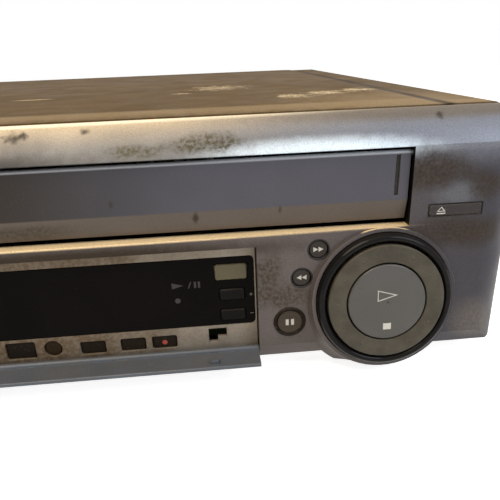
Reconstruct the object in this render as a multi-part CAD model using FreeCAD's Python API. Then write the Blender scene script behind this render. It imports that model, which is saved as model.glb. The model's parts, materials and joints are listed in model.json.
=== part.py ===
# Twin-format video cassette recorder, in millimetres.
# The front panel carries two cassette doors, a display recess with a drop-down flap,
# a shuttle dial and push keys. Behind it are two tape decks, the boards and the rear sockets.
# X runs to the right along the front, Y from the front to the back, Z up from the table.
import FreeCAD
import Part
import math
import os
from dataclasses import dataclass

Vec = FreeCAD.Vector

# Whole recorder
PANEL_HEIGHT = 104.0
BODY_DEPTH = 385.0
FOOT_HEIGHT = 8.0

# Clearances
FIT = 0.3
RUN = 0.1

# Flat sides of hidden wheels, pins and jacks, and a hexagon's corner for each unit of its flat
WHEEL_SIDES = 24
PIN_SIDES = 12
HEX_CORNER = 2 / math.sqrt(3)

# Front layout from left to right, which gives the width of the panel
LEFT_MARGIN = 46.1
SMALL_DOOR_WIDTH = 110.0
DOOR_BETWEEN = 18.7
WIDE_DOOR_WIDTH = 207.0
RIGHT_MARGIN = 44.6
DOOR_SIDE_GAP = 0.9
SMALL_OPENING = SMALL_DOOR_WIDTH + 2 * DOOR_SIDE_GAP
WIDE_OPENING = WIDE_DOOR_WIDTH + 2 * DOOR_SIDE_GAP
PANEL_WIDTH = LEFT_MARGIN + SMALL_OPENING + DOOR_BETWEEN + WIDE_OPENING + RIGHT_MARGIN
HALF_WIDTH = PANEL_WIDTH / 2
SMALL_DECK_X = LEFT_MARGIN + SMALL_OPENING / 2 - HALF_WIDTH
WIDE_DECK_X = HALF_WIDTH - RIGHT_MARGIN - WIDE_OPENING / 2

# Front panel shell: a sloping top band, an upright face and a chin that leans back
PANEL_WALL = 2.4
FASCIA_DEPTH = 13.6
SKIRT_LENGTH = 12.0
BAND_DEPTH = 12.0
BAND_HEIGHT = 13.0
BAND_BOW = 0.8
CHIN_DEPTH = 3.0
CHIN_HEIGHT = 6.6
CORNER_RADIUS = 16.0
CORNER_RUN = 12.0
EDGE_ROUND = 0.7

# Cassette doors and their openings
LEDGE_HEIGHT = 58.4
LEDGE_DEPTH = 6.0
OPENING_LIP = 0.3
CHEEK_DEPTH = 10.0
CHEEK_WALL = 2.0
DOOR_TOP_GAP = 1.5
DOOR_BOTTOM_GAP = 2.3
DOOR_SETBACK = 2.0
DOOR_THICKNESS = 2.6
DOOR_FACET_HEIGHT = 8.7
DOOR_FACET_BACK = 2.0
DOOR_PIN_RADIUS = 1.0
DOOR_GROOVE_WIDTH = 1.8
DOOR_GROOVE_DEPTH = 0.6
DOOR_GROOVE_INSET = 4.0

# Display recess, control fascia and window
RECESS_LEFT_MARGIN = 100.0
RECESS_DIAL_GAP = 53.0
RECESS_HEIGHT = 53.4
RECESS_DEPTH = 5.0
RECESS_WALL = 2.0
CONTROL_PLATE = 2.0
WINDOW_HEIGHT = 31.6
WINDOW_RISE = 16.2
WINDOW_MARGIN = 0.9
WINDOW_CORNER = 2.0
WINDOW_THICKNESS = 2.4
DISPLAY_TUBE_LEFT_GAP = 29.0
DISPLAY_TUBE_RIGHT_GAP = 27.4
DISPLAY_TUBE_MARGIN = 3.0
DISPLAY_TUBE_DEPTH = 5.0

# Drop-down flap under the window
FLAP_HEIGHT = 12.0
FLAP_THICKNESS = 1.8
FLAP_EDGE = 0.7
FLAP_KNUCKLE_RADIUS = 1.6
FLAP_PIN_RADIUS = 1.0
FLAP_AXIS_DEPTH = 2.6
FLAP_OPEN_ANGLE = 92.0
LATCH_SIDE = 17.9
LATCH_WIDTH = 8.0
LATCH_HEIGHT = 4.3
LATCH_RISE = 10.1
CATCH_WIDTH = 4.0
CATCH_DROP = 2.5

# Shuttle dial, whose face looks slightly upwards
DIAL_SIDE = 54.6
DIAL_RISE = 27.4
DIAL_TILT = 6.3
DIAL_BORE_RADIUS = 29.3
COLLAR_RADIUS = 30.8
COLLAR_PROUD = 4.5
COLLAR_SWEEP = 9.6
COLLAR_SWEEP_DEPTH = 8.6
COLLAR_STEPS = 4
COLLAR_BACK = 7.0
COLLAR_TUBE_WALL = 1.1
COLLAR_DROP = 3.2
BEZEL_PROUD = 7.6
BEZEL_PLATE = 2.0
BEZEL_STEPS = 4
RING_OUTER_RADIUS = 24.6
RING_INNER_RADIUS = 17.0
RING_PROUD = 8.0
RING_BUMP_RADIUS = 0.5
RING_BUMP_HEIGHT = 0.35
RING_BUMP_COUNT = 12
ROCKER_GAP = 0.6
ROCKER_PROUD = 8.8
ROCKER_THICKNESS = 3.3
ROCKER_DISH = 0.5
ROCKER_FLAT_SHARE = 0.5
ROCKER_RIB = 1.0
ROCKER_RIB_LENGTH = 19.0

# Push keys
KEY_TRAVEL = 0.8
KEY_FLANGE = 1.2
KEY_LIP = 0.7
KEY_STEM = 3.0
KEY_CORNER = 0.6
KEY_EDGE = 0.35
OCTAGON_CUT = 2 - math.sqrt(2)

# Keys beside the dial, from its middle
FORWARD_SIDE = 27.4
FORWARD_RISE = 23.1
REWIND_SIDE = 34.4
REWIND_RISE = 10.9
WIND_KEY_WIDTH = 7.8
WIND_KEY_SINK = 0.5
PAUSE_SIDE = 39.6
PAUSE_DROP = 9.5
PAUSE_KEY_WIDTH = 11.0
PAUSE_KEY_PROUD = 0.4

# Eject keys beside the door openings, and the power key
EJECT_GAP = 7.8
EJECT_RISE = 5.9
EJECT_WIDTH = 22.0
EJECT_HEIGHT = 4.6
EJECT_PROUD = 0.3
POWER_RISE = 32.0
POWER_WIDTH = 24.0
POWER_HEIGHT = 9.0
POWER_PROUD = 0.6

# Keys behind the flap, from the right end of the recess
ROW_RISE = 9.4
ROW_KEY_SINK = 0.6
ROW_KEY_WIDTH = 10.4
ROW_KEY_HEIGHT = 5.8
TALL_RISE = 10.4
TALL_KEY_WIDTH = 12.0
TALL_KEY_HEIGHT = 7.6
COUNTER_KEY_WIDTH = 7.2
RECORD_SIDE = 41.4
SPEED_SIDE = 55.0
INPUT_SIDE = 72.3
COUNTER_SIDE = 89.3
TIMER_SIDE = 102.9
INDEX_SIDE = 119.0

# Keys in the window, from its lower edge and the ends of the recess
WINDOW_KEY_PROUD = 0.8
SELECT_SIDE = 10.8
SELECT_RISE = 25.1
SELECT_WIDTH = 13.4
SELECT_HEIGHT = 7.0
CHANNEL_SIDE = 10.6
CHANNEL_UP_RISE = 14.6
CHANNEL_DOWN_RISE = 4.8
CHANNEL_WIDTH = 10.6
CHANNEL_HEIGHT = 5.0

# Boards
BOARD = 1.6
FRONT_BOARD_DEPTH = 16.0
FRONT_BOARD_INSET = 3.0
FRONT_BOARD_TOP = 52.0
FRONT_BOARD_EAR = 28.0
FRONT_BOARD_EAR_TOP = 72.0
SWITCH_SIZE = 6.0
SWITCH_HEIGHT = 4.3
POST_RADIUS = 2.5
PANEL_POST_SIDE = 12.0
PANEL_POST_RECESS_LEFT = 10.0
PANEL_POST_RECESS_RIGHT = 6.1
PANEL_POST_LOW = 12.0
PANEL_POST_HIGH = 47.0
PANEL_POST_MIDDLE = 34.0

# Cover, pan and rear panel
COVER_SHEET = 1.0
COVER_INSET = 4.5
COVER_RISE = 0.6
COVER_BEND = 3.0
PLATEAU_RISE = 1.4
PLATEAU_INSET = 24.5
PLATEAU_SLOPE = 6.0
PLATEAU_CORNER = 14.0
PLATEAU_REAR_GAP = 14.0
SIDE_VENT_COUNT = 12
SIDE_VENT_PITCH = 9.0
SIDE_VENT_WIDTH = 3.0
SIDE_VENT_HEIGHT = 34.0
PAN_SHEET = 1.2
PAN_FLANGE = 16.0
PAN_VENT_COUNT = 9
PAN_VENT_PITCH = 12.0
PAN_VENT_WIDTH = 4.0
PAN_VENT_LENGTH = 70.0
REAR_INSET = 2.0
REAR_SHEET = 1.2
FOOT_RADIUS = 14.0
FOOT_TAPER = 2.0
FOOT_SIDE = 50.0
FOOT_FRONT = 45.0
FOOT_REAR = 50.0
SCREW_HEAD_RADIUS = 4.0
SCREW_HEAD_HEIGHT = 2.2
SCREW_SHANK_RADIUS = 1.5
SCREW_SHANK_LENGTH = 5.0
SCREW_RISE = 9.0

# Tape decks
DECK_RISE = 28.0
DECK_SHEET = 2.0
SWING_ROOM = 2.0
BASKET_SHEET = 1.0
BASKET_LEDGE = 12.0
BASKET_PIN_RADIUS = 2.0
SLIDER_SHEET = 1.2
SLIDER_GAP = 0.5
BRACKET_SHEET = 1.2
BRACKET_FOOT = 8.0
BASKET_DROP = 20.0
CASSETTE_PLAY = 0.5
DRUM_TILT = 6.0
DRUM_GAP = 0.3
DRUM_BASE_HEIGHT = 3.0
DRUM_SHAFT_RADIUS = 3.0
DRUM_SHAFT_SHARE = 0.65
DRUM_BORE_SHARE = 0.7
DRUM_FOOT_SHARE = 0.7
REEL_DEPTH_SHARE = 0.45
REEL_PIN_RADIUS = 2.0
REEL_SHOULDER = 2.7
REEL_FLANGE = 4.5
REEL_HUB_HEIGHT = 14.5
REEL_WING_COUNT = 3
REEL_WING_REACH = 1.25
REEL_WING_WIDTH = 0.33
CAPSTAN_RADIUS = 2.0
CAPSTAN_HEIGHT = 34.0
FLYWHEEL_HEIGHT = 9.0
SLEEVE_RADIUS = 6.0
SLEEVE_HEIGHT = 5.0
DECK_POST_RADIUS = 4.0
DECK_POST_INSET = 6.0


@dataclass(frozen=True)
class Deck:
    """Sizes of one tape deck; the wide and the small one are built alike."""
    x: float
    cassette_width: float
    cassette_height: float
    cassette_depth: float
    basket_depth: float
    slide_in: float
    plate_overhang: float
    plate_tail: float
    reel_spacing: float
    reel_radius: float
    reel_hub_radius: float
    drum_radius: float
    drum_height: float
    drum_setback: float
    flywheel_radius: float
    capstan_side: float
    capstan_front: float


WIDE = Deck(x=WIDE_DECK_X, cassette_width=188.0, cassette_height=25.0, cassette_depth=104.0,
            basket_depth=90.0, slide_in=60.0, plate_overhang=5.2, plate_tail=16.0,
            reel_spacing=92.0, reel_radius=22.0, reel_hub_radius=8.5,
            drum_radius=31.0, drum_height=20.0, drum_setback=46.0,
            flywheel_radius=22.0, capstan_side=56.0, capstan_front=31.0)
SMALL = Deck(x=SMALL_DECK_X, cassette_width=95.0, cassette_height=15.0, cassette_depth=62.5,
             basket_depth=54.0, slide_in=40.0, plate_overhang=4.7, plate_tail=12.0,
             reel_spacing=46.0, reel_radius=14.0, reel_hub_radius=5.5,
             drum_radius=20.0, drum_height=15.0, drum_setback=32.0,
             flywheel_radius=14.0, capstan_side=34.0, capstan_front=20.0)

# Guide posts and pinch roller of the wide deck
GUIDE_BASE_RADIUS = 6.0
GUIDE_BASE_HEIGHT = 4.7
GUIDE_POST_RADIUS = 2.5
GUIDE_FLANGE_RADIUS = 3.8
GUIDE_HEIGHT = 32.0
GUIDE_STEM_RADIUS = 2.0
GUIDE_START_SIDE = 30.0
GUIDE_START_LEAD = 8.0
GUIDE_END_ROOM = 1.5
GUIDE_END_LEAD = 5.0
PINCH_ARM_LENGTH = 26.0
PINCH_ARM_SHEET = 3.0
PINCH_ARM_WIDTH = 8.0
PINCH_RADIUS = 6.5
PINCH_HEIGHT = 16.0
PINCH_PIN_RADIUS = 1.5
PINCH_PIVOT_RADIUS = 2.5
PINCH_NIP = 0.5
PINCH_ANGLE = 20.0
MOTOR_SHEET = 2.0
MOTOR_RIM = 1.5
MOTOR_RIM_ROOM = 3.0
MOTOR_POST_RADIUS = 2.5
MOTOR_POST_COUNT = 3

# Boards on the pan and sockets on the rear panel
BOARD_RISE = 3.8
MAIN_BOARD_FRONT = 50.0
MAIN_BOARD_DEPTH = 220.0
MAIN_BOARD_EDGE = 14.0
CHIP_COLUMNS = 3
CHIP_ROWS = 2
CHIP_WIDTH = 28.0
CHIP_DEPTH = 14.0
CHIP_HEIGHT = 3.2
CHIP_COLUMN_PITCH = 56.0
CHIP_ROW_PITCH = 42.0
POWER_BOARD_SIDE = 14.2
POWER_BOARD_WIDTH = 120.0
POWER_BOARD_FRONT = 225.0
POWER_BOARD_DEPTH = 140.0
TRANSFORMER = (46.0, 40.0, 42.0)
CAPACITOR_COUNT = 2
CAPACITOR_PITCH = 27.5
CAPACITOR_RADIUS = 11.0
CAPACITOR_HEIGHT = 30.0
HEAT_SINK_WIDTH = 60.0
HEAT_SINK_HEIGHT = 45.0
HEAT_SINK_FIN = 2.0
HEAT_SINK_FIN_PITCH = 8.0
HEAT_SINK_FIN_DEPTH = 12.0
JACK_TUNER_GAP = 20.0
JACK_PITCH = 18.0
JACK_COLUMNS = 3
JACK_ROWS = 2
JACK_RISE = 30.0
JACK_RADIUS = 4.2
JACK_BORE = 1.7
JACK_LENGTH = 9.0
JACK_BLOCK_DEPTH = 16.0
JACK_RIM = 3.0
TUNER_SIDE = 79.2
TUNER_WIDTH = 58.0
TUNER_DEPTH = 52.0
TUNER_HEIGHT = 32.0
SOCKET_RADIUS = 4.7
SOCKET_SHARES = (0.25, 0.75)
INLET_SIDE = 51.2
INLET_RISE = 32.0
INLET_WIDTH = 24.0
INLET_HEIGHT = 14.0
INLET_DEPTH = 20.0
INLET_FLANGE = 3.0
INLET_LIP = 2.0
INLET_WALL = 2.5
INLET_CORNER = 2.0
REAR_VENT_COUNT = 10
REAR_VENT_PITCH = 7.0
REAR_VENT_WIDTH = 3.0
REAR_VENT_HEIGHT = 30.0

# Levels and faces that follow from the sizes above
PANEL_BOTTOM = FOOT_HEIGHT
PANEL_TOP = PANEL_BOTTOM + PANEL_HEIGHT
FACE_TOP = PANEL_TOP - BAND_HEIGHT
FACE_BOTTOM = PANEL_BOTTOM + CHIN_HEIGHT
PANEL_BACK = FASCIA_DEPTH + SKIRT_LENGTH
COVER_HALF = HALF_WIDTH - COVER_INSET
COVER_TOP = PANEL_TOP + COVER_RISE
COVER_FRONT = FASCIA_DEPTH + FIT
SKIRT_HALF = COVER_HALF - COVER_SHEET - FIT
SKIRT_TOP = COVER_TOP - COVER_SHEET - FIT
PAN_TOP = FOOT_HEIGHT + PAN_SHEET
SKIRT_BOTTOM = PAN_TOP + FIT
REAR_FACE = BODY_DEPTH - REAR_INSET
LEDGE_Z = PANEL_BOTTOM + LEDGE_HEIGHT
OPENING_TOP = FACE_TOP - OPENING_LIP
DOOR_TOP = OPENING_TOP - DOOR_TOP_GAP
DOOR_BOTTOM = LEDGE_Z + DOOR_BOTTOM_GAP
DOOR_PIVOT_Y = DOOR_SETBACK + DOOR_THICKNESS / 2
DOOR_PIVOT_Z = DOOR_TOP - DOOR_THICKNESS / 2
DIAL_X = HALF_WIDTH - DIAL_SIDE
RECESS_LEFT = RECESS_LEFT_MARGIN - HALF_WIDTH
RECESS_RIGHT = DIAL_X - RECESS_DIAL_GAP
RECESS_FLOOR = PANEL_BOTTOM + PANEL_WALL
RECESS_TOP = PANEL_BOTTOM + RECESS_HEIGHT
WINDOW_BOTTOM = PANEL_BOTTOM + WINDOW_RISE
WINDOW_TOP = WINDOW_BOTTOM + WINDOW_HEIGHT
PLATE_LEFT = RECESS_LEFT + FIT
PLATE_RIGHT = RECESS_RIGHT - FIT
PLATE_BACK = RECESS_DEPTH + CONTROL_PLATE
LATCH_LEFT = RECESS_RIGHT - LATCH_SIDE - LATCH_WIDTH / 2
FLAP_AXIS_Z = RECESS_FLOOR + FIT + FLAP_KNUCKLE_RADIUS
DIAL_Z = PANEL_BOTTOM + DIAL_RISE
DECK_TOP = FOOT_HEIGHT + PAN_SHEET + DECK_RISE
DECK_BOTTOM = DECK_TOP - DECK_SHEET
DOOR_REACH = math.hypot(DOOR_PIVOT_Z - DOOR_BOTTOM, DOOR_FACET_BACK + DOOR_THICKNESS)
BASKET_FRONT = DOOR_PIVOT_Y + DOOR_REACH + SWING_ROOM
BOARD_BOTTOM = PAN_TOP + BOARD_RISE
BOARD_TOP = BOARD_BOTTOM + BOARD
POWER_BOARD_LEFT = POWER_BOARD_SIDE - SKIRT_HALF
TUNER_LEFT = SKIRT_HALF - TUNER_SIDE
JACK_LEFT = TUNER_LEFT - JACK_TUNER_GAP - JACK_PITCH * JACK_COLUMNS
INLET_X = INLET_SIDE - SKIRT_HALF


# Shape helpers

def box(x, y, z):
    """Box between the low and high values of each pair."""
    return Part.makeBox(x[1] - x[0], y[1] - y[0], z[1] - z[0], Vec(x[0], y[0], z[0]))


def rod(radius, start, end):
    """Round bar from one point to another."""
    axis = end - start
    return Part.makeCylinder(radius, axis.Length, start, axis)


def sided_bar(sides, radius, start, end):
    """Bar with flat sides from one point to another; the radius reaches its corners."""
    axis = end - start
    across = axis.cross(Vec(1, 1, 1)).normalize() * radius
    side = Vec(axis).normalize().cross(across)
    turns = [2 * math.pi * index / sides for index in range(sides)]
    return polygon([start + across * math.cos(turn) + side * math.sin(turn) for turn in turns]).extrude(axis)


def sided_post(sides, radius, x, y, z):
    """Upright bar with flat sides between two levels."""
    return sided_bar(sides, radius, Vec(x, y, z[0]), Vec(x, y, z[1]))


def hex_bar(radius, start, end):
    """Six-sided bar from one point to another."""
    return sided_bar(6, radius, start, end)


def hex_post(radius, x, y, z):
    """Upright six-sided bar between two levels."""
    return sided_post(6, radius, x, y, z)


def upright(radius, x, y, z):
    """Upright round bar between two levels."""
    return rod(radius, Vec(x, y, z[0]), Vec(x, y, z[1]))


def join(pieces):
    """One clean solid made of overlapping or touching pieces."""
    whole = pieces[0]
    if len(pieces) > 1:
        whole = whole.fuse(pieces[1:])
    return whole.removeSplitter()


def face_of(edges):
    """Flat face inside a closed run of edges."""
    return Part.Face(Part.Wire(edges))


def polygon(points):
    """Flat face with straight sides."""
    return Part.Face(Part.makePolygon(points + points[:1]))


def line(start, end):
    """Straight edge."""
    return Part.LineSegment(start, end).toShape()


def arc(start, middle, end):
    """Round edge through three points."""
    return Part.Arc(start, middle, end).toShape()


def side_profile(points, x):
    """Straight-sided YZ outline carried along X."""
    flat = polygon([Vec(x[0], y, z) for y, z in points])
    return flat.extrude(Vec(x[1] - x[0], 0, 0))


def round_rectangle(x, z, radius, y):
    """XZ rectangle with round corners carried along Y."""
    block = box(x, y, z)
    if radius <= 0:
        return block
    corners = [edge for edge in block.Edges if abs(edge.tangentAt(edge.FirstParameter).y) > 0.5]
    return block.makeFillet(radius, corners)


def cut_rectangle(x, z, corner, y):
    """XZ rectangle with cut corners carried along Y."""
    (x0, x1), (z0, z1) = x, z
    points = [(x0 + corner, z0), (x1 - corner, z0), (x1, z0 + corner), (x1, z1 - corner),
              (x1 - corner, z1), (x0 + corner, z1), (x0, z1 - corner), (x0, z0 + corner)]
    return polygon([Vec(px, y[0], pz) for px, pz in points]).extrude(Vec(0, y[1] - y[0], 0))


def soften_front(solid, size):
    """Bevel the edges of the face that looks to the front."""
    front = solid.BoundBox.YMin
    rim = [edge for edge in solid.Edges if edge.BoundBox.YMax < front + 1e-6]
    return solid.makeChamfer(size, rim)


def turned(points):
    """Body of revolution about Z, from (radius, level) points."""
    outline = polygon([Vec(radius, 0, level) for radius, level in points])
    return outline.revolve(Vec(0, 0, 0), Vec(0, 0, 1), 360)


def inset_outline(points, insets):
    """Convex outline with each side moved inwards by its own amount.

    Side i runs from point i to the next one, and the inside lies to its left.
    """
    count = len(points)
    sides = []
    for index, (start, inset) in enumerate(zip(points, insets)):
        end = points[(index + 1) % count]
        along = (end[0] - start[0], end[1] - start[1])
        length = math.hypot(*along)
        normal = (-along[1] / length, along[0] / length)
        sides.append(((start[0] + normal[0] * inset, start[1] + normal[1] * inset), along))
    corners = []
    for index in range(count):
        (a, u), (b, v) = sides[index - 1], sides[index]
        share = ((b[0] - a[0]) * v[1] - (b[1] - a[1]) * v[0]) / (u[0] * v[1] - u[1] * v[0])
        corners.append((a[0] + u[0] * share, a[1] + u[1] * share))
    return corners


def on_dial(solid):
    """Move a solid made about Z onto the tilted axis of the dial."""
    placed = solid.copy()
    placed.rotate(Vec(0, 0, 0), Vec(1, 0, 0), 90 - DIAL_TILT)
    placed.translate(Vec(DIAL_X, 0, DIAL_Z))
    return placed


# Push keys: a cap that shows, a flange behind the wall and a stem towards its switch

@dataclass(frozen=True)
class Key:
    """Place and size of one key; a round key has no height."""
    x: float
    z: float
    width: float
    height: float
    proud: float
    wall_front: float
    wall_back: float

    def half_sizes(self):
        """Half width and half height."""
        return self.width / 2, (self.height or self.width) / 2

    def block(self, grow, y):
        """Key outline, grown all round, between two depths."""
        half, tall = self.half_sizes()
        if self.height == 0:
            return rod(half + grow, Vec(self.x, y[0], self.z), Vec(self.x, y[1], self.z))
        return cut_rectangle((self.x - half - grow, self.x + half + grow),
                             (self.z - tall - grow, self.z + tall + grow), KEY_CORNER, y)

    def hole(self):
        """Opening for the cap through its wall."""
        return self.block(FIT, (self.wall_front - 1, self.wall_back + 1))

    def solid(self):
        """The whole key."""
        front = self.wall_front - self.proud
        flange_front = self.wall_back + FIT
        flange_back = flange_front + KEY_FLANGE
        stem_end = FRONT_BOARD_DEPTH - SWITCH_HEIGHT - KEY_TRAVEL - RUN
        half, tall = self.half_sizes()
        cap = soften_front(self.block(0, (front, flange_front)), KEY_EDGE)
        corner = KEY_CORNER if self.height else (half + KEY_LIP) * OCTAGON_CUT
        flange = cut_rectangle((self.x - half - KEY_LIP, self.x + half + KEY_LIP),
                               (self.z - tall - KEY_LIP, self.z + tall + KEY_LIP),
                               corner, (flange_front, flange_back))
        stem_half = KEY_STEM / 2
        stem = box((self.x - stem_half, self.x + stem_half), (flange_back, stem_end),
                   (self.z - stem_half, self.z + stem_half))
        return join([cap, flange, stem])

    def switch(self):
        """Switch body on the front board behind the key."""
        half = SWITCH_SIZE / 2
        return box((self.x - half, self.x + half),
                   (FRONT_BOARD_DEPTH - SWITCH_HEIGHT, FRONT_BOARD_DEPTH),
                   (self.z - half, self.z + half))


def panel_key(x, z, width, height, proud):
    """Key set in the panel's upright face."""
    return Key(x, z, width, height, proud, 0.0, PANEL_WALL)


def dial_key(side, rise, width, proud):
    """Round key to the left of the dial, placed from its middle."""
    return panel_key(DIAL_X - side, DIAL_Z + rise, width, 0, proud)


def row_key(side, rise, width, height):
    """Key set in the control fascia, placed from the right end of the recess."""
    x, z = RECESS_RIGHT - side, PANEL_BOTTOM + rise
    return Key(x, z, width, height, -ROW_KEY_SINK, RECESS_DEPTH, PLATE_BACK)


def window_key(x, rise, width, height):
    """Key set in the display window."""
    back = RECESS_DEPTH + WINDOW_THICKNESS
    return Key(x, WINDOW_BOTTOM + rise, width, height, WINDOW_KEY_PROUD, RECESS_DEPTH, back)


EJECT_WIDE_X = HALF_WIDTH - RIGHT_MARGIN + EJECT_GAP + EJECT_WIDTH / 2
EJECT_SMALL_X = LEFT_MARGIN - HALF_WIDTH - EJECT_GAP - EJECT_WIDTH / 2
EJECT_Z = LEDGE_Z + EJECT_RISE
POWER_X = (RECESS_LEFT - HALF_WIDTH) / 2
PANEL_KEYS = {
    "forward_button": dial_key(FORWARD_SIDE, FORWARD_RISE, WIND_KEY_WIDTH, -WIND_KEY_SINK),
    "rewind_button": dial_key(REWIND_SIDE, REWIND_RISE, WIND_KEY_WIDTH, -WIND_KEY_SINK),
    "pause_button": dial_key(PAUSE_SIDE, -PAUSE_DROP, PAUSE_KEY_WIDTH, PAUSE_KEY_PROUD),
    "wide_eject_button": panel_key(EJECT_WIDE_X, EJECT_Z, EJECT_WIDTH, EJECT_HEIGHT, EJECT_PROUD),
    "small_eject_button": panel_key(EJECT_SMALL_X, EJECT_Z, EJECT_WIDTH, EJECT_HEIGHT, EJECT_PROUD),
    "power_button": panel_key(POWER_X, PANEL_BOTTOM + POWER_RISE, POWER_WIDTH, POWER_HEIGHT, POWER_PROUD),
}
PLATE_KEYS = {
    "index_button": row_key(INDEX_SIDE, TALL_RISE, TALL_KEY_WIDTH, TALL_KEY_HEIGHT),
    "timer_button": row_key(TIMER_SIDE, TALL_RISE, TALL_KEY_WIDTH, TALL_KEY_HEIGHT),
    "counter_button": row_key(COUNTER_SIDE, TALL_RISE, COUNTER_KEY_WIDTH, 0),
    "input_button": row_key(INPUT_SIDE, ROW_RISE, ROW_KEY_WIDTH, ROW_KEY_HEIGHT),
    "speed_button": row_key(SPEED_SIDE, ROW_RISE, ROW_KEY_WIDTH, ROW_KEY_HEIGHT),
    "record_button": row_key(RECORD_SIDE, ROW_RISE, ROW_KEY_WIDTH, ROW_KEY_HEIGHT),
}
CHANNEL_X = RECESS_RIGHT - CHANNEL_SIDE
WINDOW_KEYS = {
    "wide_select_button": window_key(RECESS_RIGHT - SELECT_SIDE, SELECT_RISE, SELECT_WIDTH, SELECT_HEIGHT),
    "small_select_button": window_key(RECESS_LEFT + SELECT_SIDE, SELECT_RISE, SELECT_WIDTH, SELECT_HEIGHT),
    "channel_up_button": window_key(CHANNEL_X, CHANNEL_UP_RISE, CHANNEL_WIDTH, CHANNEL_HEIGHT),
    "channel_down_button": window_key(CHANNEL_X, CHANNEL_DOWN_RISE, CHANNEL_WIDTH, CHANNEL_HEIGHT),
}
ALL_KEYS = {**PANEL_KEYS, **PLATE_KEYS, **WINDOW_KEYS}


def panel_post_places():
    """Posts inside the panel that carry the front board, as (x, z)."""
    pairs = [HALF_WIDTH - PANEL_POST_SIDE, RECESS_LEFT - PANEL_POST_RECESS_LEFT, PANEL_POST_SIDE - HALF_WIDTH]
    places = [(x, PANEL_BOTTOM + rise) for x in pairs for rise in (PANEL_POST_LOW, PANEL_POST_HIGH)]
    return places + [(RECESS_RIGHT + PANEL_POST_RECESS_RIGHT, PANEL_BOTTOM + PANEL_POST_MIDDLE)]


# Front panel and what it carries

def plan_prism(inset, back, z):
    """Plan of the panel, with its swept corners, carried upwards."""
    half = HALF_WIDTH - inset
    start = HALF_WIDTH - CORNER_RUN
    radius = CORNER_RADIUS - inset
    end_y = CORNER_RADIUS - math.sqrt(radius ** 2 - (half - start) ** 2)
    turn = math.asin((half - start) / radius) / 2
    middle = (start + radius * math.sin(turn), CORNER_RADIUS - radius * math.cos(turn))
    low = z[0]
    outline = [
        line(Vec(-start, inset, low), Vec(start, inset, low)),
        arc(Vec(start, inset, low), Vec(middle[0], middle[1], low), Vec(half, end_y, low)),
        line(Vec(half, end_y, low), Vec(half, back, low)),
        line(Vec(half, back, low), Vec(-half, back, low)),
        line(Vec(-half, back, low), Vec(-half, end_y, low)),
        arc(Vec(-half, end_y, low), Vec(-middle[0], middle[1], low), Vec(-start, inset, low)),
    ]
    return face_of(outline).extrude(Vec(0, 0, z[1] - low))


def fascia_block():
    """Solid front part of the panel: bowed band, face and chin, with swept ends."""
    left = -HALF_WIDTH
    run = math.hypot(BAND_DEPTH, BAND_HEIGHT)
    bow_out = BAND_BOW * BAND_HEIGHT / run
    bow_up = BAND_BOW * BAND_DEPTH / run
    bow = Vec(left, BAND_DEPTH / 2 - bow_out, PANEL_TOP - BAND_HEIGHT / 2 + bow_up)
    back_top = Vec(left, FASCIA_DEPTH, PANEL_TOP)
    band_top = Vec(left, BAND_DEPTH, PANEL_TOP)
    crease = Vec(left, 0, FACE_TOP)
    chin_top = Vec(left, 0, FACE_BOTTOM)
    chin = Vec(left, CHIN_DEPTH, PANEL_BOTTOM)
    back_bottom = Vec(left, FASCIA_DEPTH, PANEL_BOTTOM)
    outline = [line(back_top, band_top), arc(band_top, bow, crease), line(crease, chin_top),
               line(chin_top, chin), line(chin, back_bottom), line(back_bottom, back_top)]
    block = face_of(outline).extrude(Vec(PANEL_WIDTH, 0, 0))
    top_edge = [edge for edge in block.Edges
                if abs(edge.BoundBox.YMin - BAND_DEPTH) < 1e-6 and abs(edge.BoundBox.YMax - BAND_DEPTH) < 1e-6
                and edge.Length > HALF_WIDTH]
    block = block.makeFillet(EDGE_ROUND, top_edge)
    return block.common(plan_prism(0, FASCIA_DEPTH, (PANEL_BOTTOM - 1, PANEL_TOP + 1)))


def skirt_block():
    """Part of the panel that slips into the cover, with its top edges rounded like the cover's bends."""
    block = box((-SKIRT_HALF, SKIRT_HALF), (FASCIA_DEPTH - PANEL_WALL, PANEL_BACK), (SKIRT_BOTTOM, SKIRT_TOP))
    bends = [edge for edge in block.Edges
             if edge.BoundBox.ZMin > SKIRT_TOP - 1e-6 and edge.BoundBox.XLength < 1e-6]
    return block.makeFillet(COVER_BEND - COVER_SHEET, bends)


def panel_hollow():
    """Space behind the panel's walls, open to the back."""
    points = [(PANEL_BACK, PANEL_TOP), (BAND_DEPTH, PANEL_TOP), (0, FACE_TOP), (0, FACE_BOTTOM),
              (CHIN_DEPTH, PANEL_BOTTOM), (PANEL_BACK, PANEL_BOTTOM)]
    top_inset = PANEL_TOP - SKIRT_TOP + PANEL_WALL
    bottom_inset = SKIRT_BOTTOM + PANEL_WALL - PANEL_BOTTOM
    insets = [top_inset, PANEL_WALL, PANEL_WALL, PANEL_WALL, bottom_inset, -1.0]
    inner = SKIRT_HALF - PANEL_WALL
    hollow = side_profile(inset_outline(points, insets), (-inner, inner))
    return hollow.common(plan_prism(PANEL_WALL, PANEL_BACK + 2, (PANEL_BOTTOM, PANEL_TOP)))


def door_span(deck_x, width):
    """Left and right side of a door opening."""
    half = width / 2 + DOOR_SIDE_GAP
    return (deck_x - half, deck_x + half)


def opening_frame(deck_x, width):
    """Ledge under a cassette opening and the cheeks that hold its door pins."""
    left, right = door_span(deck_x, width)
    inside = PANEL_WALL / 2
    low = LEDGE_Z - PANEL_WALL
    cheek_z = (low, OPENING_TOP + CHEEK_WALL)
    ledge = box((left - CHEEK_WALL, right + CHEEK_WALL), (inside, LEDGE_DEPTH), (low, LEDGE_Z))
    cheeks = [box((left - CHEEK_WALL, left), (inside, CHEEK_DEPTH), cheek_z),
              box((right, right + CHEEK_WALL), (inside, CHEEK_DEPTH), cheek_z)]
    return [ledge] + cheeks


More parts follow.
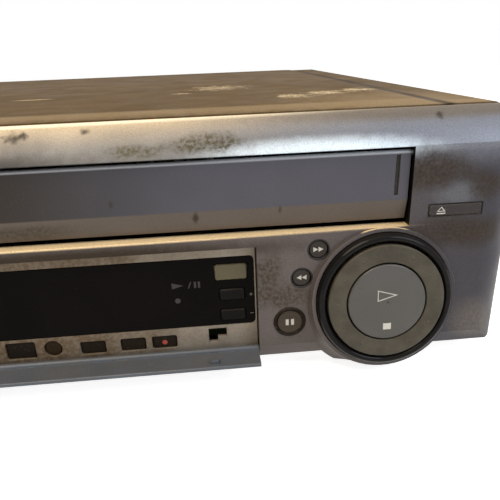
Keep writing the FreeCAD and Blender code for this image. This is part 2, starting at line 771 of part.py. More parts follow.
def opening_cut(deck_x, width):
    """Cassette opening with the holes for its door pins."""
    left, right = door_span(deck_x, width)
    hole = box((left, right), (-1, PANEL_BACK + 1), (LEDGE_Z, OPENING_TOP))
    pin_radius = (DOOR_PIN_RADIUS + RUN) * HEX_CORNER
    pins = hex_bar(pin_radius, Vec(left - CHEEK_WALL - 1, DOOR_PIVOT_Y, DOOR_PIVOT_Z),
                   Vec(right + CHEEK_WALL + 1, DOOR_PIVOT_Y, DOOR_PIVOT_Z))
    return [hole, pins]


def recess_frame():
    """Walls at the top and the ends of the display recess."""
    inside = PANEL_WALL / 2
    end = PLATE_BACK
    z = (PANEL_BOTTOM + PANEL_WALL / 2, RECESS_TOP + RECESS_WALL)
    top = box((RECESS_LEFT - RECESS_WALL, RECESS_RIGHT + RECESS_WALL), (inside, end), (RECESS_TOP, z[1]))
    ends = [box((RECESS_LEFT - RECESS_WALL, RECESS_LEFT), (CHIN_DEPTH, end), z),
            box((RECESS_RIGHT, RECESS_RIGHT + RECESS_WALL), (CHIN_DEPTH, end), z)]
    return [top] + ends


def recess_cut():
    """Display recess with the holes for the flap pins."""
    hole = box((RECESS_LEFT, RECESS_RIGHT), (-1, PANEL_BACK + 1), (RECESS_FLOOR, RECESS_TOP))
    radius = (FLAP_PIN_RADIUS + RUN) * HEX_CORNER
    pins = hex_bar(radius, Vec(RECESS_LEFT - RECESS_WALL, FLAP_AXIS_DEPTH, FLAP_AXIS_Z),
                   Vec(RECESS_RIGHT + RECESS_WALL, FLAP_AXIS_DEPTH, FLAP_AXIS_Z))
    return [hole, pins]


def collar():
    """Collar round the dial, which sweeps into the face and reaches just below the chin."""
    foot_radius = COLLAR_RADIUS + COLLAR_SWEEP
    deep = COLLAR_PROUD - COLLAR_SWEEP_DEPTH
    inner = DIAL_BORE_RADIUS - 1
    at = math.asin(COLLAR_SWEEP_DEPTH / COLLAR_SWEEP)
    turns = [at * index / COLLAR_STEPS for index in range(COLLAR_STEPS + 1)]
    curve = [(foot_radius - COLLAR_SWEEP * math.cos(turn), COLLAR_PROUD - COLLAR_SWEEP * math.sin(turn))
             for turn in turns]
    sweep = turned([(inner, deep), (inner, COLLAR_PROUD)] + curve)
    tube_radius = DIAL_BORE_RADIUS + COLLAR_TUBE_WALL
    tube = turned([(inner, -COLLAR_BACK), (tube_radius, -COLLAR_BACK), (tube_radius, COLLAR_PROUD),
                   (inner, COLLAR_PROUD)])
    low = PANEL_BOTTOM - COLLAR_DROP
    reach = foot_radius * 2
    around = (DIAL_X - reach, DIAL_X + reach)
    behind = box(around, (PANEL_WALL / 2, reach), (-reach, reach * 2))
    below = box(around, (-reach, reach), (low - reach, low))
    return join([on_dial(sweep).cut(behind), on_dial(tube)]).cut(below)


def front_panel():
    """Moulded panel with its openings, collar, key holes and board posts."""
    shell = join([fascia_block(), skirt_block()]).cut(panel_hollow())
    posts = [hex_bar(POST_RADIUS, Vec(x, PANEL_WALL / 2, z), Vec(x, FRONT_BOARD_DEPTH, z))
             for x, z in panel_post_places()]
    frames = opening_frame(WIDE_DECK_X, WIDE_DOOR_WIDTH) + opening_frame(SMALL_DECK_X, SMALL_DOOR_WIDTH)
    body = join([shell, collar()] + posts + frames + recess_frame())
    bore = on_dial(Part.makeCylinder(DIAL_BORE_RADIUS, COLLAR_BACK * 3, Vec(0, 0, -COLLAR_BACK)))
    cuts = opening_cut(WIDE_DECK_X, WIDE_DOOR_WIDTH) + opening_cut(SMALL_DECK_X, SMALL_DOOR_WIDTH)
    cuts += recess_cut() + [bore] + [key.hole() for key in PANEL_KEYS.values()]
    return body.cut(cuts).removeSplitter()


def cassette_door(deck_x, width):
    """Door with a round top edge, a leaning lower facet and a groove near each end."""
    left, right = deck_x - width / 2, deck_x + width / 2
    radius = DOOR_THICKNESS / 2
    back = DOOR_SETBACK + DOOR_THICKNESS
    crease = DOOR_BOTTOM + DOOR_FACET_HEIGHT
    front_top = Vec(left, DOOR_SETBACK, DOOR_PIVOT_Z)
    back_top = Vec(left, back, DOOR_PIVOT_Z)
    front_crease = Vec(left, DOOR_SETBACK, crease)
    back_crease = Vec(left, back, crease)
    front_bottom = Vec(left, DOOR_SETBACK + DOOR_FACET_BACK, DOOR_BOTTOM)
    back_bottom = Vec(left, back + DOOR_FACET_BACK, DOOR_BOTTOM)
    outline = [
        arc(front_top, Vec(left, DOOR_PIVOT_Y, DOOR_PIVOT_Z + radius), back_top),
        line(back_top, back_crease),
        line(back_crease, back_bottom),
        line(back_bottom, front_bottom),
        line(front_bottom, front_crease),
        line(front_crease, front_top),
    ]
    panel = face_of(outline).extrude(Vec(width, 0, 0))
    reach = DOOR_SIDE_GAP + CHEEK_WALL
    pin = rod(DOOR_PIN_RADIUS, Vec(left - reach, DOOR_PIVOT_Y, DOOR_PIVOT_Z),
              Vec(right + reach, DOOR_PIVOT_Y, DOOR_PIVOT_Z))
    grooves = []
    for start in (left + DOOR_GROOVE_INSET, right - DOOR_GROOVE_INSET - DOOR_GROOVE_WIDTH):
        grooves.append(box((start, start + DOOR_GROOVE_WIDTH),
                           (DOOR_SETBACK - 1, DOOR_SETBACK + DOOR_GROOVE_DEPTH),
                           (crease + DOOR_GROOVE_WIDTH, DOOR_PIVOT_Z)))
    return join([panel.cut(grooves), pin])


def window_span():
    """Left and right side of the display window."""
    return (PLATE_LEFT + WINDOW_MARGIN, PLATE_RIGHT - WINDOW_MARGIN)


def control_fascia():
    """Plate at the back of the recess, with the window opening, key holes and latch slot."""
    plate = box((PLATE_LEFT, PLATE_RIGHT), (RECESS_DEPTH, PLATE_BACK), (RECESS_FLOOR + FIT, RECESS_TOP - FIT))
    left, right = window_span()
    through = (RECESS_DEPTH - 1, PLATE_BACK + 1)
    window = round_rectangle((left - FIT, right + FIT), (WINDOW_BOTTOM - FIT, WINDOW_TOP + FIT),
                             WINDOW_CORNER, through)
    latch_low = PANEL_BOTTOM + LATCH_RISE
    latch = box((LATCH_LEFT, LATCH_LEFT + LATCH_WIDTH), through, (latch_low, latch_low + LATCH_HEIGHT))
    catch = box((LATCH_LEFT, LATCH_LEFT + CATCH_WIDTH), through, (latch_low - CATCH_DROP, latch_low + 1))
    return plate.cut([window, latch, catch] + [key.hole() for key in PLATE_KEYS.values()])


def display_window():
    """Dark window with openings for its own keys."""
    left, right = window_span()
    glass = round_rectangle((left, right), (WINDOW_BOTTOM, WINDOW_TOP), WINDOW_CORNER - FIT,
                            (RECESS_DEPTH, RECESS_DEPTH + WINDOW_THICKNESS))
    return glass.cut([key.hole() for key in WINDOW_KEYS.values()])


def display_tube():
    """Flat display tube on its frame, between the window and the front board."""
    x = (RECESS_LEFT + DISPLAY_TUBE_LEFT_GAP, RECESS_RIGHT - DISPLAY_TUBE_RIGHT_GAP)
    low, high = WINDOW_BOTTOM + DISPLAY_TUBE_MARGIN, WINDOW_TOP - DISPLAY_TUBE_MARGIN
    front = RECESS_DEPTH + WINDOW_THICKNESS + FIT
    back = front + DISPLAY_TUBE_DEPTH
    tube = soften_front(box(x, (front, back), (low, high)), KEY_EDGE)
    rim = DISPLAY_TUBE_MARGIN
    frame = box((x[0] - rim, x[1] + rim), (back, FRONT_BOARD_DEPTH), (low, high))
    pocket = box((x[0] + rim, x[1] - rim), (back, FRONT_BOARD_DEPTH + 1), (low + rim, high - rim))
    return join([tube, frame.cut(pocket)])


def front_board():
    """Board behind the keys with their switches, and an ear behind each eject key."""
    half = SKIRT_HALF - PANEL_WALL - FRONT_BOARD_INSET
    y = (FRONT_BOARD_DEPTH, FRONT_BOARD_DEPTH + BOARD)
    low = SKIRT_BOTTOM + PANEL_WALL + FIT
    top = PANEL_BOTTOM + FRONT_BOARD_TOP
    ear_top = PANEL_BOTTOM + FRONT_BOARD_EAR_TOP
    plates = [box((-half, half), y, (low, top)),
              box((half - FRONT_BOARD_EAR, half), y, (top - 1, ear_top)),
              box((-half, FRONT_BOARD_EAR - half), y, (top - 1, ear_top))]
    return join(plates + [key.switch() for key in ALL_KEYS.values()])


def front_flap():
    """Drop-down flap with its knuckle and pins, shown lowered."""
    left, right = RECESS_LEFT + FIT, RECESS_RIGHT - FIT
    axis_low = Vec(left, FLAP_AXIS_DEPTH, FLAP_AXIS_Z)
    axis_high = Vec(right, FLAP_AXIS_DEPTH, FLAP_AXIS_Z)
    front = FLAP_AXIS_DEPTH - FLAP_KNUCKLE_RADIUS
    leaf = box((left, right), (front, front + FLAP_THICKNESS), (FLAP_AXIS_Z, FLAP_AXIS_Z + FLAP_HEIGHT))
    top_edges = [edge for edge in leaf.Edges if edge.BoundBox.ZMin > FLAP_AXIS_Z + FLAP_HEIGHT - 1e-6
                 and edge.Length > FLAP_HEIGHT]
    leaf = leaf.makeFillet(FLAP_EDGE, top_edges)
    hook = box((LATCH_LEFT + FIT, LATCH_LEFT + CATCH_WIDTH - FIT),
               (front + FLAP_THICKNESS / 2, RECESS_DEPTH - FIT),
               (FLAP_AXIS_Z + FLAP_HEIGHT - LATCH_HEIGHT, FLAP_AXIS_Z + FLAP_HEIGHT - LATCH_HEIGHT / 2))
    knuckle = rod(FLAP_KNUCKLE_RADIUS, axis_low, axis_high)
    reach = Vec(RECESS_WALL, 0, 0)
    pin = rod(FLAP_PIN_RADIUS, axis_low - reach, axis_high + reach)
    flap = join([leaf, hook, knuckle, pin])
    flap.rotate(axis_low, Vec(1, 0, 0), FLAP_OPEN_ANGLE)
    return flap


# Dial pieces, made about Z with the face upwards and then set on the tilted axis

def dial_bezel():
    """Glossy bezel with a round crest, its back plate and the hub that the ring turns on."""
    outer = DIAL_BORE_RADIUS - FIT
    inner = RING_OUTER_RADIUS + FIT
    plate = -COLLAR_BACK + BEZEL_PLATE
    shoulder = COLLAR_PROUD - FIT
    half = (outer - inner) / 2
    rise = BEZEL_PROUD - shoulder
    turns = [math.pi * index / BEZEL_STEPS for index in range(BEZEL_STEPS + 1)]
    crest = [(inner + half - half * math.cos(turn), shoulder + rise * math.sin(turn)) for turn in turns]
    hub_top = rocker_low() - ROCKER_RIB - FIT
    hub = RING_INNER_RADIUS - RUN
    profile = [(0, -COLLAR_BACK), (outer, -COLLAR_BACK)] + crest[::-1]
    profile += [(inner, plate), (hub, plate), (hub, hub_top), (0, hub_top)]
    return on_dial(turned(profile))


def shuttle_ring():
    """Flat ring that turns on the hub, with a circle of small bumps to grip."""
    low = -COLLAR_BACK + BEZEL_PLATE + FIT
    edge = EDGE_ROUND
    ring = turned([(RING_INNER_RADIUS, low), (RING_OUTER_RADIUS, low), (RING_OUTER_RADIUS, RING_PROUD - edge),
                   (RING_OUTER_RADIUS - edge, RING_PROUD), (RING_INNER_RADIUS, RING_PROUD)])
    middle = (RING_OUTER_RADIUS + RING_INNER_RADIUS) / 2
    bumps = []
    for index in range(RING_BUMP_COUNT):
        turn = 2 * math.pi * (index + 0.5) / RING_BUMP_COUNT
        bumps.append(hex_post(RING_BUMP_RADIUS, middle * math.cos(turn), middle * math.sin(turn),
                              (RING_PROUD - EDGE_ROUND, RING_PROUD + RING_BUMP_HEIGHT)))
    return on_dial(join([ring] + bumps))


def rocker_low():
    """Underside of the rocker, where its pivot rib is centred."""
    return ROCKER_PROUD - ROCKER_THICKNESS


def play_stop_button():
    """Round rocker in the middle of the dial, slightly crowned, with a round pivot rib under it."""
    radius = RING_INNER_RADIUS - ROCKER_GAP
    low = rocker_low()
    edge = ROCKER_PROUD - ROCKER_DISH
    cap = turned([(0, low), (radius, low), (radius, edge - EDGE_ROUND), (radius - EDGE_ROUND, edge),
                  (radius * ROCKER_FLAT_SHARE, ROCKER_PROUD), (0, ROCKER_PROUD)])
    reach = Vec(ROCKER_RIB_LENGTH / 2, 0, 0)
    rib = rod(ROCKER_RIB, Vec(0, 0, low) - reach, Vec(0, 0, low) + reach)
    return on_dial(join([cap, rib]))


# Outer shell behind the panel

def plateau(drop):
    """Raised middle of the cover, as a low block with sloping sides, lowered by the given amount."""
    half = COVER_HALF - PLATEAU_INSET
    y = (COVER_FRONT, BODY_DEPTH - PLATEAU_REAR_GAP)
    base = rounded_wire((-half, half), y, PLATEAU_CORNER, COVER_TOP - drop)
    slope = PLATEAU_SLOPE
    top = rounded_wire((slope - half, half - slope), (y[0] + slope, y[1] - slope), PLATEAU_CORNER - slope / 2,
                       COVER_TOP + PLATEAU_RISE - drop)
    return Part.makeLoft([base, top], True, True)


def rounded_wire(x, y, radius, z):
    """Level rectangle with round corners."""
    turn = radius * (1 - math.sqrt(0.5))
    (x0, x1), (y0, y1) = x, y
    edges = [
        line(Vec(x0 + radius, y0, z), Vec(x1 - radius, y0, z)),
        arc(Vec(x1 - radius, y0, z), Vec(x1 - turn, y0 + turn, z), Vec(x1, y0 + radius, z)),
        line(Vec(x1, y0 + radius, z), Vec(x1, y1 - radius, z)),
        arc(Vec(x1, y1 - radius, z), Vec(x1 - turn, y1 - turn, z), Vec(x1 - radius, y1, z)),
        line(Vec(x1 - radius, y1, z), Vec(x0 + radius, y1, z)),
        arc(Vec(x0 + radius, y1, z), Vec(x0 + turn, y1 - turn, z), Vec(x0, y1 - radius, z)),
        line(Vec(x0, y1 - radius, z), Vec(x0, y0 + radius, z)),
        arc(Vec(x0, y0 + radius, z), Vec(x0 + turn, y0 + turn, z), Vec(x0 + radius, y0, z)),
    ]
    return Part.Wire(edges)


def bent_hood(half, top, radius, y):
    """Block with its two long top edges bent round."""
    block = box((-half, half), y, (FOOT_HEIGHT + FIT, top))
    bends = [edge for edge in block.Edges
             if edge.BoundBox.ZMin > top - 1e-6 and edge.BoundBox.XLength < 1e-6]
    return block.makeFillet(radius, bends)


def screw_places():
    """Seat point and outward direction of every cover screw."""
    z = FOOT_HEIGHT + SCREW_RISE
    sides = [(Vec(sign * COVER_HALF, y, z), Vec(sign, 0, 0))
             for sign in (-1, 1) for y in (PANEL_BACK + FOOT_FRONT, BODY_DEPTH - FOOT_REAR)]
    rear_z = COVER_TOP - COVER_SHEET - SCREW_RISE
    rears = [(Vec(x, REAR_FACE, rear_z), Vec(0, 1, 0)) for x in (-COVER_HALF / 2, 0, COVER_HALF / 2)]
    return sides + rears


def screw_holes():
    """Clearance holes along every screw."""
    radius = SCREW_SHANK_RADIUS + FIT
    return [hex_bar(radius, seat - out * SCREW_SHANK_LENGTH, seat + out) for seat, out in screw_places()]


def cover_screws():
    """Screws with low hexagon heads, in one group."""
    screws = []
    for seat, out in screw_places():
        head = hex_bar(SCREW_HEAD_RADIUS, seat, seat + out * SCREW_HEAD_HEIGHT)
        shank = hex_bar(SCREW_SHANK_RADIUS, seat - out * SCREW_SHANK_LENGTH, seat)
        screws.append(join([head, shank]))
    return Part.makeCompound(screws)


def top_cover():
    """Folded steel cover with a raised middle, bent long edges and side vents."""
    outer = join([bent_hood(COVER_HALF, COVER_TOP, COVER_BEND, (COVER_FRONT, BODY_DEPTH)), plateau(0)])
    through = (COVER_FRONT - 1, BODY_DEPTH + 1)
    inside = bent_hood(COVER_HALF - COVER_SHEET, COVER_TOP - COVER_SHEET, COVER_BEND - COVER_SHEET, through)
    below = box((-COVER_HALF - 1, COVER_HALF + 1), through, (0, FOOT_HEIGHT + FIT))
    shell = outer.cut([inside, plateau(COVER_SHEET), below])
    vent_x = (-COVER_HALF - 1, COVER_HALF + 1)
    vent_low = (FOOT_HEIGHT + COVER_TOP - SIDE_VENT_HEIGHT) / 2
    vents = []
    for index in range(SIDE_VENT_COUNT):
        y = BODY_DEPTH - FOOT_REAR - index * SIDE_VENT_PITCH - SIDE_VENT_WIDTH / 2
        vents.append(box(vent_x, (y, y + SIDE_VENT_WIDTH), (vent_low, vent_low + SIDE_VENT_HEIGHT)))
    return shell.cut(vents + screw_holes())


def foot_places():
    """Middle of each foot."""
    side = COVER_HALF - FOOT_SIDE
    return [(x, y) for x in (-side, side) for y in (FOOT_FRONT, BODY_DEPTH - FOOT_REAR)]


def feet():
    """Four tapered feet in one group."""
    shape = turned([(0, 0), (FOOT_RADIUS - FOOT_TAPER, 0), (FOOT_RADIUS, FOOT_HEIGHT), (0, FOOT_HEIGHT)])
    copies = []
    for x, y in foot_places():
        foot = shape.copy()
        foot.translate(Vec(x, y, 0))
        copies.append(foot)
    return Part.makeCompound(copies)


def deck_half(deck):
    """Half width of a deck plate."""
    return bracket_outer(deck) + deck.plate_overhang


def deck_back(deck):
    """Rear edge of a deck plate."""
    return drum_y(deck) + deck.drum_radius + deck.plate_tail


def deck_post_places(deck):
    """Posts under the corners of a deck plate."""
    side = deck_half(deck) - DECK_POST_INSET
    return [(deck.x + sign * side, y) for sign in (-1, 1)
            for y in (BASKET_FRONT + DECK_POST_INSET, deck_back(deck) - DECK_POST_INSET)]


def main_board_span():
    """Left and right edge of the main board, between the posts of the wide deck."""
    half = deck_half(WIDE) - MAIN_BOARD_EDGE
    return (WIDE.x - half, WIDE.x + half)


def board_corners(x, y):
    """Places for posts under a board's corners."""
    inset = 2 * POST_RADIUS
    return [(a, b) for a in (x[0] + inset, x[1] - inset) for b in (y[0] + inset, y[1] - inset)]


def chassis_pan():
    """Steel pan with side flanges, floor vents and the posts for the decks and boards."""
    floor = box((-SKIRT_HALF, SKIRT_HALF), (COVER_FRONT, REAR_FACE), (FOOT_HEIGHT, PAN_TOP))
    flange_y = (PANEL_BACK + FIT, REAR_FACE)
    flange_z = (FOOT_HEIGHT, FOOT_HEIGHT + PAN_FLANGE)
    flanges = [box((SKIRT_HALF - PAN_SHEET, SKIRT_HALF), flange_y, flange_z),
               box((-SKIRT_HALF, PAN_SHEET - SKIRT_HALF), flange_y, flange_z)]
    posts = [hex_post(DECK_POST_RADIUS, x, y, (FOOT_HEIGHT, DECK_BOTTOM))
             for deck in (WIDE, SMALL) for x, y in deck_post_places(deck)]
    main_y = (MAIN_BOARD_FRONT, MAIN_BOARD_FRONT + MAIN_BOARD_DEPTH)
    power_x = (POWER_BOARD_LEFT, POWER_BOARD_LEFT + POWER_BOARD_WIDTH)
    power_y = (POWER_BOARD_FRONT, POWER_BOARD_FRONT + POWER_BOARD_DEPTH)
    stands = board_corners(main_board_span(), main_y) + board_corners(power_x, power_y)
    posts += [hex_post(POST_RADIUS, x, y, (FOOT_HEIGHT, BOARD_BOTTOM)) for x, y in stands]
    vent_front = POWER_BOARD_FRONT + PAN_VENT_PITCH
    vent_y = (vent_front, vent_front + PAN_VENT_LENGTH)
    vents = []
    for index in range(PAN_VENT_COUNT):
        x = POWER_BOARD_LEFT + 2 * PAN_VENT_PITCH + index * PAN_VENT_PITCH - PAN_VENT_WIDTH / 2
        vents.append(box((x, x + PAN_VENT_WIDTH), vent_y, (FOOT_HEIGHT - 1, PAN_TOP + 1)))
    return join([floor.cut(vents)] + flanges + posts).cut(screw_holes())


def jack_places():
    """Middle of every signal jack, as (x, z)."""
    base = FOOT_HEIGHT + JACK_RISE
    return [(JACK_LEFT + JACK_PITCH * (column + 0.5), base + JACK_PITCH * (row + 0.5))
            for column in range(JACK_COLUMNS) for row in range(JACK_ROWS)]


def socket_places():
    """Middle of the two aerial sockets on the tuner box."""
    z = FOOT_HEIGHT + JACK_RISE + TUNER_HEIGHT / 2
    return [(TUNER_LEFT + TUNER_WIDTH * share, z) for share in SOCKET_SHARES]


def along_depth(radius, places, y):
    """Jack sleeves along Y at the given (x, z) places."""
    return [sided_bar(PIN_SIDES, radius, Vec(x, y[0], z), Vec(x, y[1], z)) for x, z in places]


def jack_face():
    """Width and height of the jack block where it shows through the rear sheet."""
    low = FOOT_HEIGHT + JACK_RISE
    return (JACK_LEFT, JACK_LEFT + JACK_PITCH * JACK_COLUMNS), (low, low + JACK_PITCH * JACK_ROWS)


def tuner_face():
    """Width and height of the tuner where it shows through the rear sheet."""
    low = FOOT_HEIGHT + JACK_RISE
    return (TUNER_LEFT, TUNER_LEFT + TUNER_WIDTH), (low, low + TUNER_HEIGHT)


def inlet_face():
    """Width and height of the inlet where it passes the rear sheet."""
    low = FOOT_HEIGHT + INLET_RISE
    return (INLET_X - INLET_WIDTH / 2, INLET_X + INLET_WIDTH / 2), (low, low + INLET_HEIGHT)


def grown(span, by):
    """Span made longer at both ends."""
    return (span[0] - by, span[1] + by)


def rear_panel():
    """Rear sheet with the openings for the jacks, tuner, inlet and vents."""
    half = SKIRT_HALF - PAN_SHEET - FIT
    y = (REAR_FACE - REAR_SHEET, REAR_FACE)
    through = (y[0] - 1, y[1] + 1)
    sheet = box((-half, half), y, (PAN_TOP, COVER_TOP - COVER_SHEET - FIT))
    holes = [box(grown(x, FIT), through, grown(z, FIT)) for x, z in (jack_face(), tuner_face(), inlet_face())]
    vent_low = inlet_face()[1][1] + REAR_VENT_PITCH
    for index in range(REAR_VENT_COUNT):
        x = INLET_X + (index - REAR_VENT_COUNT / 2) * REAR_VENT_PITCH
        holes.append(box((x, x + REAR_VENT_WIDTH), through, (vent_low, vent_low + REAR_VENT_HEIGHT)))
    return sheet.cut(holes + screw_holes())


def rear_jacks():
    """Moulded block with two rows of signal jacks, its face level with the rear sheet."""
    back = REAR_FACE - REAR_SHEET
    x, z = jack_face()
    face = box(x, (back - JACK_BLOCK_DEPTH, REAR_FACE), z)
    flange = box(grown(x, JACK_RIM), (back - JACK_BLOCK_DEPTH, back), grown(z, JACK_RIM))
    end = REAR_FACE + JACK_LENGTH
    sleeves = along_depth(JACK_RADIUS, jack_places(), (back, end))
    bores = [hex_bar(JACK_BORE, Vec(jx, REAR_FACE, jz), Vec(jx, end + 1, jz)) for jx, jz in jack_places()]
    return join([face, flange] + sleeves).cut(bores)


def tuner_box():
    """Screened tuner with its two aerial sockets, its face level with the rear sheet."""
    x, z = tuner_face()
    can = box(x, (REAR_FACE - TUNER_DEPTH, REAR_FACE), z)
    end = REAR_FACE + JACK_LENGTH
    sockets = along_depth(SOCKET_RADIUS, socket_places(), (REAR_FACE - 1, end))
    bores = [hex_bar(JACK_BORE, Vec(sx, REAR_FACE, sz), Vec(sx, end + 1, sz)) for sx, sz in socket_places()]
    return join([can] + sockets).cut(bores)


def mains_inlet():
    """Mains inlet with a flange outside the rear sheet and a hollow for the lead's connector."""
    x, z = inlet_face()
    end = REAR_FACE + INLET_LIP
    body = cut_rectangle(x, z, INLET_CORNER, (REAR_FACE - INLET_DEPTH, end))
    flange = cut_rectangle(grown(x, INLET_FLANGE), grown(z, INLET_FLANGE), INLET_CORNER, (REAR_FACE, end))
    hollow = cut_rectangle(grown(x, -INLET_WALL), grown(z, -INLET_WALL), INLET_CORNER,
                           (REAR_FACE - INLET_DEPTH + INLET_WALL, end + 1))
    return join([body, flange]).cut(hollow)


def main_board():
    """Signal board under the wide deck with its larger chips and coils."""
    x = main_board_span()
    y = (MAIN_BOARD_FRONT, MAIN_BOARD_FRONT + MAIN_BOARD_DEPTH)
    plate = box(x, y, (BOARD_BOTTOM, BOARD_TOP))
    chips = []
    for column in range(CHIP_COLUMNS):
        for row in range(CHIP_ROWS):
            left = x[0] + MAIN_BOARD_EDGE + column * CHIP_COLUMN_PITCH
            front = y[0] + MAIN_BOARD_EDGE + row * CHIP_ROW_PITCH
            chips.append(box((left, left + CHIP_WIDTH), (front, front + CHIP_DEPTH),
                             (BOARD_TOP - BOARD / 2, BOARD_TOP + CHIP_HEIGHT)))
    return join([plate] + chips)


def power_board():
    """Supply board with its transformer, smoothing capacitors and finned heat sink."""
    x0, y0 = POWER_BOARD_LEFT, POWER_BOARD_FRONT
    plate = box((x0, x0 + POWER_BOARD_WIDTH), (y0, y0 + POWER_BOARD_DEPTH), (BOARD_BOTTOM, BOARD_TOP))
    width, depth, height = TRANSFORMER
    edge = MAIN_BOARD_EDGE
    base = BOARD_TOP - BOARD / 2
    core = box((x0 + edge, x0 + edge + width), (y0 + edge, y0 + edge + depth), (base, BOARD_TOP + height))
    pieces = [plate, core]
    cx = x0 + POWER_BOARD_WIDTH - edge - CAPACITOR_RADIUS
    for index in range(CAPACITOR_COUNT):
        cy = y0 + edge + CAPACITOR_RADIUS + index * CAPACITOR_PITCH
        pieces.append(sided_post(WHEEL_SIDES, CAPACITOR_RADIUS, cx, cy, (base, BOARD_TOP + CAPACITOR_HEIGHT)))
    sink_y = y0 + POWER_BOARD_DEPTH - edge - HEAT_SINK_FIN_DEPTH
    sink_x = x0 + edge
    sink_z = (base, BOARD_TOP + HEAT_SINK_HEIGHT)
    pieces.append(box((sink_x, sink_x + HEAT_SINK_WIDTH), (sink_y, sink_y + HEAT_SINK_FIN), sink_z))
    fin_y = (sink_y - HEAT_SINK_FIN_DEPTH, sink_y + HEAT_SINK_FIN)
    fins = int(HEAT_SINK_WIDTH / HEAT_SINK_FIN_PITCH)
    for index in range(fins):
        left = sink_x + index * HEAT_SINK_FIN_PITCH
        pieces.append(box((left, left + HEAT_SINK_FIN), fin_y, sink_z))
    return join(pieces)


# Tape decks: places that the pieces of one deck share

def basket_inner(deck):
    """Half width inside the cassette basket."""
    return deck.cassette_width / 2 + CASSETTE_PLAY


def slider_inner(deck):
    """Inner face of the slider's side bar."""
    return basket_inner(deck) + BASKET_SHEET + SLIDER_GAP


def bracket_inner(deck):
    """Inner face of the side bracket."""
    return slider_inner(deck) + SLIDER_SHEET + FIT


def bracket_outer(deck):
    """Outer face of the side bracket."""
    return bracket_inner(deck) + BRACKET_SHEET


def basket_floor():
    """Top of the basket's ledges with the basket raised."""
    return LEDGE_Z + CASSETTE_PLAY


def basket_top(deck):
    """Top of the basket's hold-down flaps with the basket raised."""
    return basket_floor() + deck.cassette_height + 2 * CASSETTE_PLAY + BASKET_SHEET


def basket_pin(deck):
    """Depth and level of the basket's side pins with the basket raised."""
    return (BASKET_FRONT + deck.basket_depth / 2, basket_floor() + deck.cassette_height / 2)


def seated_back(deck):
    """Rear edge of a seated cassette."""
    return BASKET_FRONT + deck.slide_in + deck.cassette_depth


def reel_y(deck):
    """Depth of the two reel shafts."""
    return BASKET_FRONT + deck.slide_in + deck.cassette_depth * REEL_DEPTH_SHARE


def drum_y(deck):
    """Depth of the drum's middle."""
    return seated_back(deck) + deck.drum_setback


def capstan_place(deck):
    """Middle of the capstan shaft."""
    return (deck.x + deck.capstan_side, drum_y(deck) - deck.capstan_front)


def pinch_pivot():
    """Pivot of the pinch arm, placed so that its roller just clears the capstan when it closes."""
    x, y = capstan_place(WIDE)
    return (x + CAPSTAN_RADIUS + PINCH_RADIUS + PINCH_NIP, y + PINCH_ARM_LENGTH)


def guide_track(side):
    """Start and end of a guide post's slot; side is -1 for supply and 1 for take-up."""
    start = Vec(WIDE.x + side * GUIDE_START_SIDE, seated_back(WIDE) - GUIDE_START_LEAD, DECK_TOP)
    reach = WIDE.drum_radius + DRUM_BASE_HEIGHT + GUIDE_BASE_RADIUS + GUIDE_END_ROOM
    end = Vec(WIDE.x + side * reach, drum_y(WIDE) - GUIDE_END_LEAD, DECK_TOP)
    return start, end


def motor_posts():
    """Posts that hang the capstan motor under the wide deck plate."""
    x, y = capstan_place(WIDE)
    reach = WIDE.flywheel_radius + MOTOR_RIM_ROOM + MOTOR_POST_RADIUS
    angles = [math.pi / 6 + 2 * math.pi * index / MOTOR_POST_COUNT for index in range(MOTOR_POST_COUNT)]
    return [(x + reach * math.cos(angle), y + reach * math.sin(angle)) for angle in angles]


def deck_plate(deck):
    """Deck plate with reel pins, capstan sleeve and, on the wide deck, guide slots and a pinch pivot."""
    half = deck_half(deck)
    plate = box((deck.x - half, deck.x + half), (BASKET_FRONT, deck_back(deck)), (DECK_BOTTOM, DECK_TOP))
    cap_x, cap_y = capstan_place(deck)
    pieces = [plate, hex_post(SLEEVE_RADIUS, cap_x, cap_y, (DECK_BOTTOM, DECK_TOP + SLEEVE_HEIGHT))]
    for side in (-1, 1):
        x = deck.x + side * deck.reel_spacing / 2
        pieces.append(hex_post(2 * REEL_PIN_RADIUS, x, reel_y(deck), (DECK_BOTTOM, DECK_TOP + REEL_SHOULDER)))
        span = (DECK_BOTTOM, reel_top() - REEL_PIN_RADIUS)
        pieces.append(sided_post(PIN_SIDES, REEL_PIN_RADIUS, x, reel_y(deck), span))
    cuts = [upright(CAPSTAN_RADIUS + RUN, cap_x, cap_y, (DECK_BOTTOM - 1, DECK_TOP + SLEEVE_HEIGHT + 1))]
    if deck is WIDE:
        pivot_x, pivot_y = pinch_pivot()
        span = (DECK_BOTTOM, pinch_arm_top() + FIT)
        pieces.append(sided_post(PIN_SIDES, PINCH_PIVOT_RADIUS, pivot_x, pivot_y, span))
        span = (DECK_BOTTOM, pinch_arm_low() - FIT)
        pieces.append(hex_post(2 * PINCH_PIVOT_RADIUS, pivot_x, pivot_y, span))
        for side in (-1, 1):
            cuts.append(guide_slot(side))
    return join(pieces).cut(cuts)


def guide_slot(side):
    """Slot that a guide post's stem runs in."""
    start, end = guide_track(side)
    half = GUIDE_STEM_RADIUS + FIT
    along = (end - start).normalize() * half
    across = Vec(-along.y, along.x, 0)
    low = Vec(0, 0, -2 * DECK_SHEET)
    near, far = start - along + low, end + along + low
    corners = [near + across, far + across, far - across, near - across]
    return polygon(corners).extrude(Vec(0, 0, 3 * DECK_SHEET))


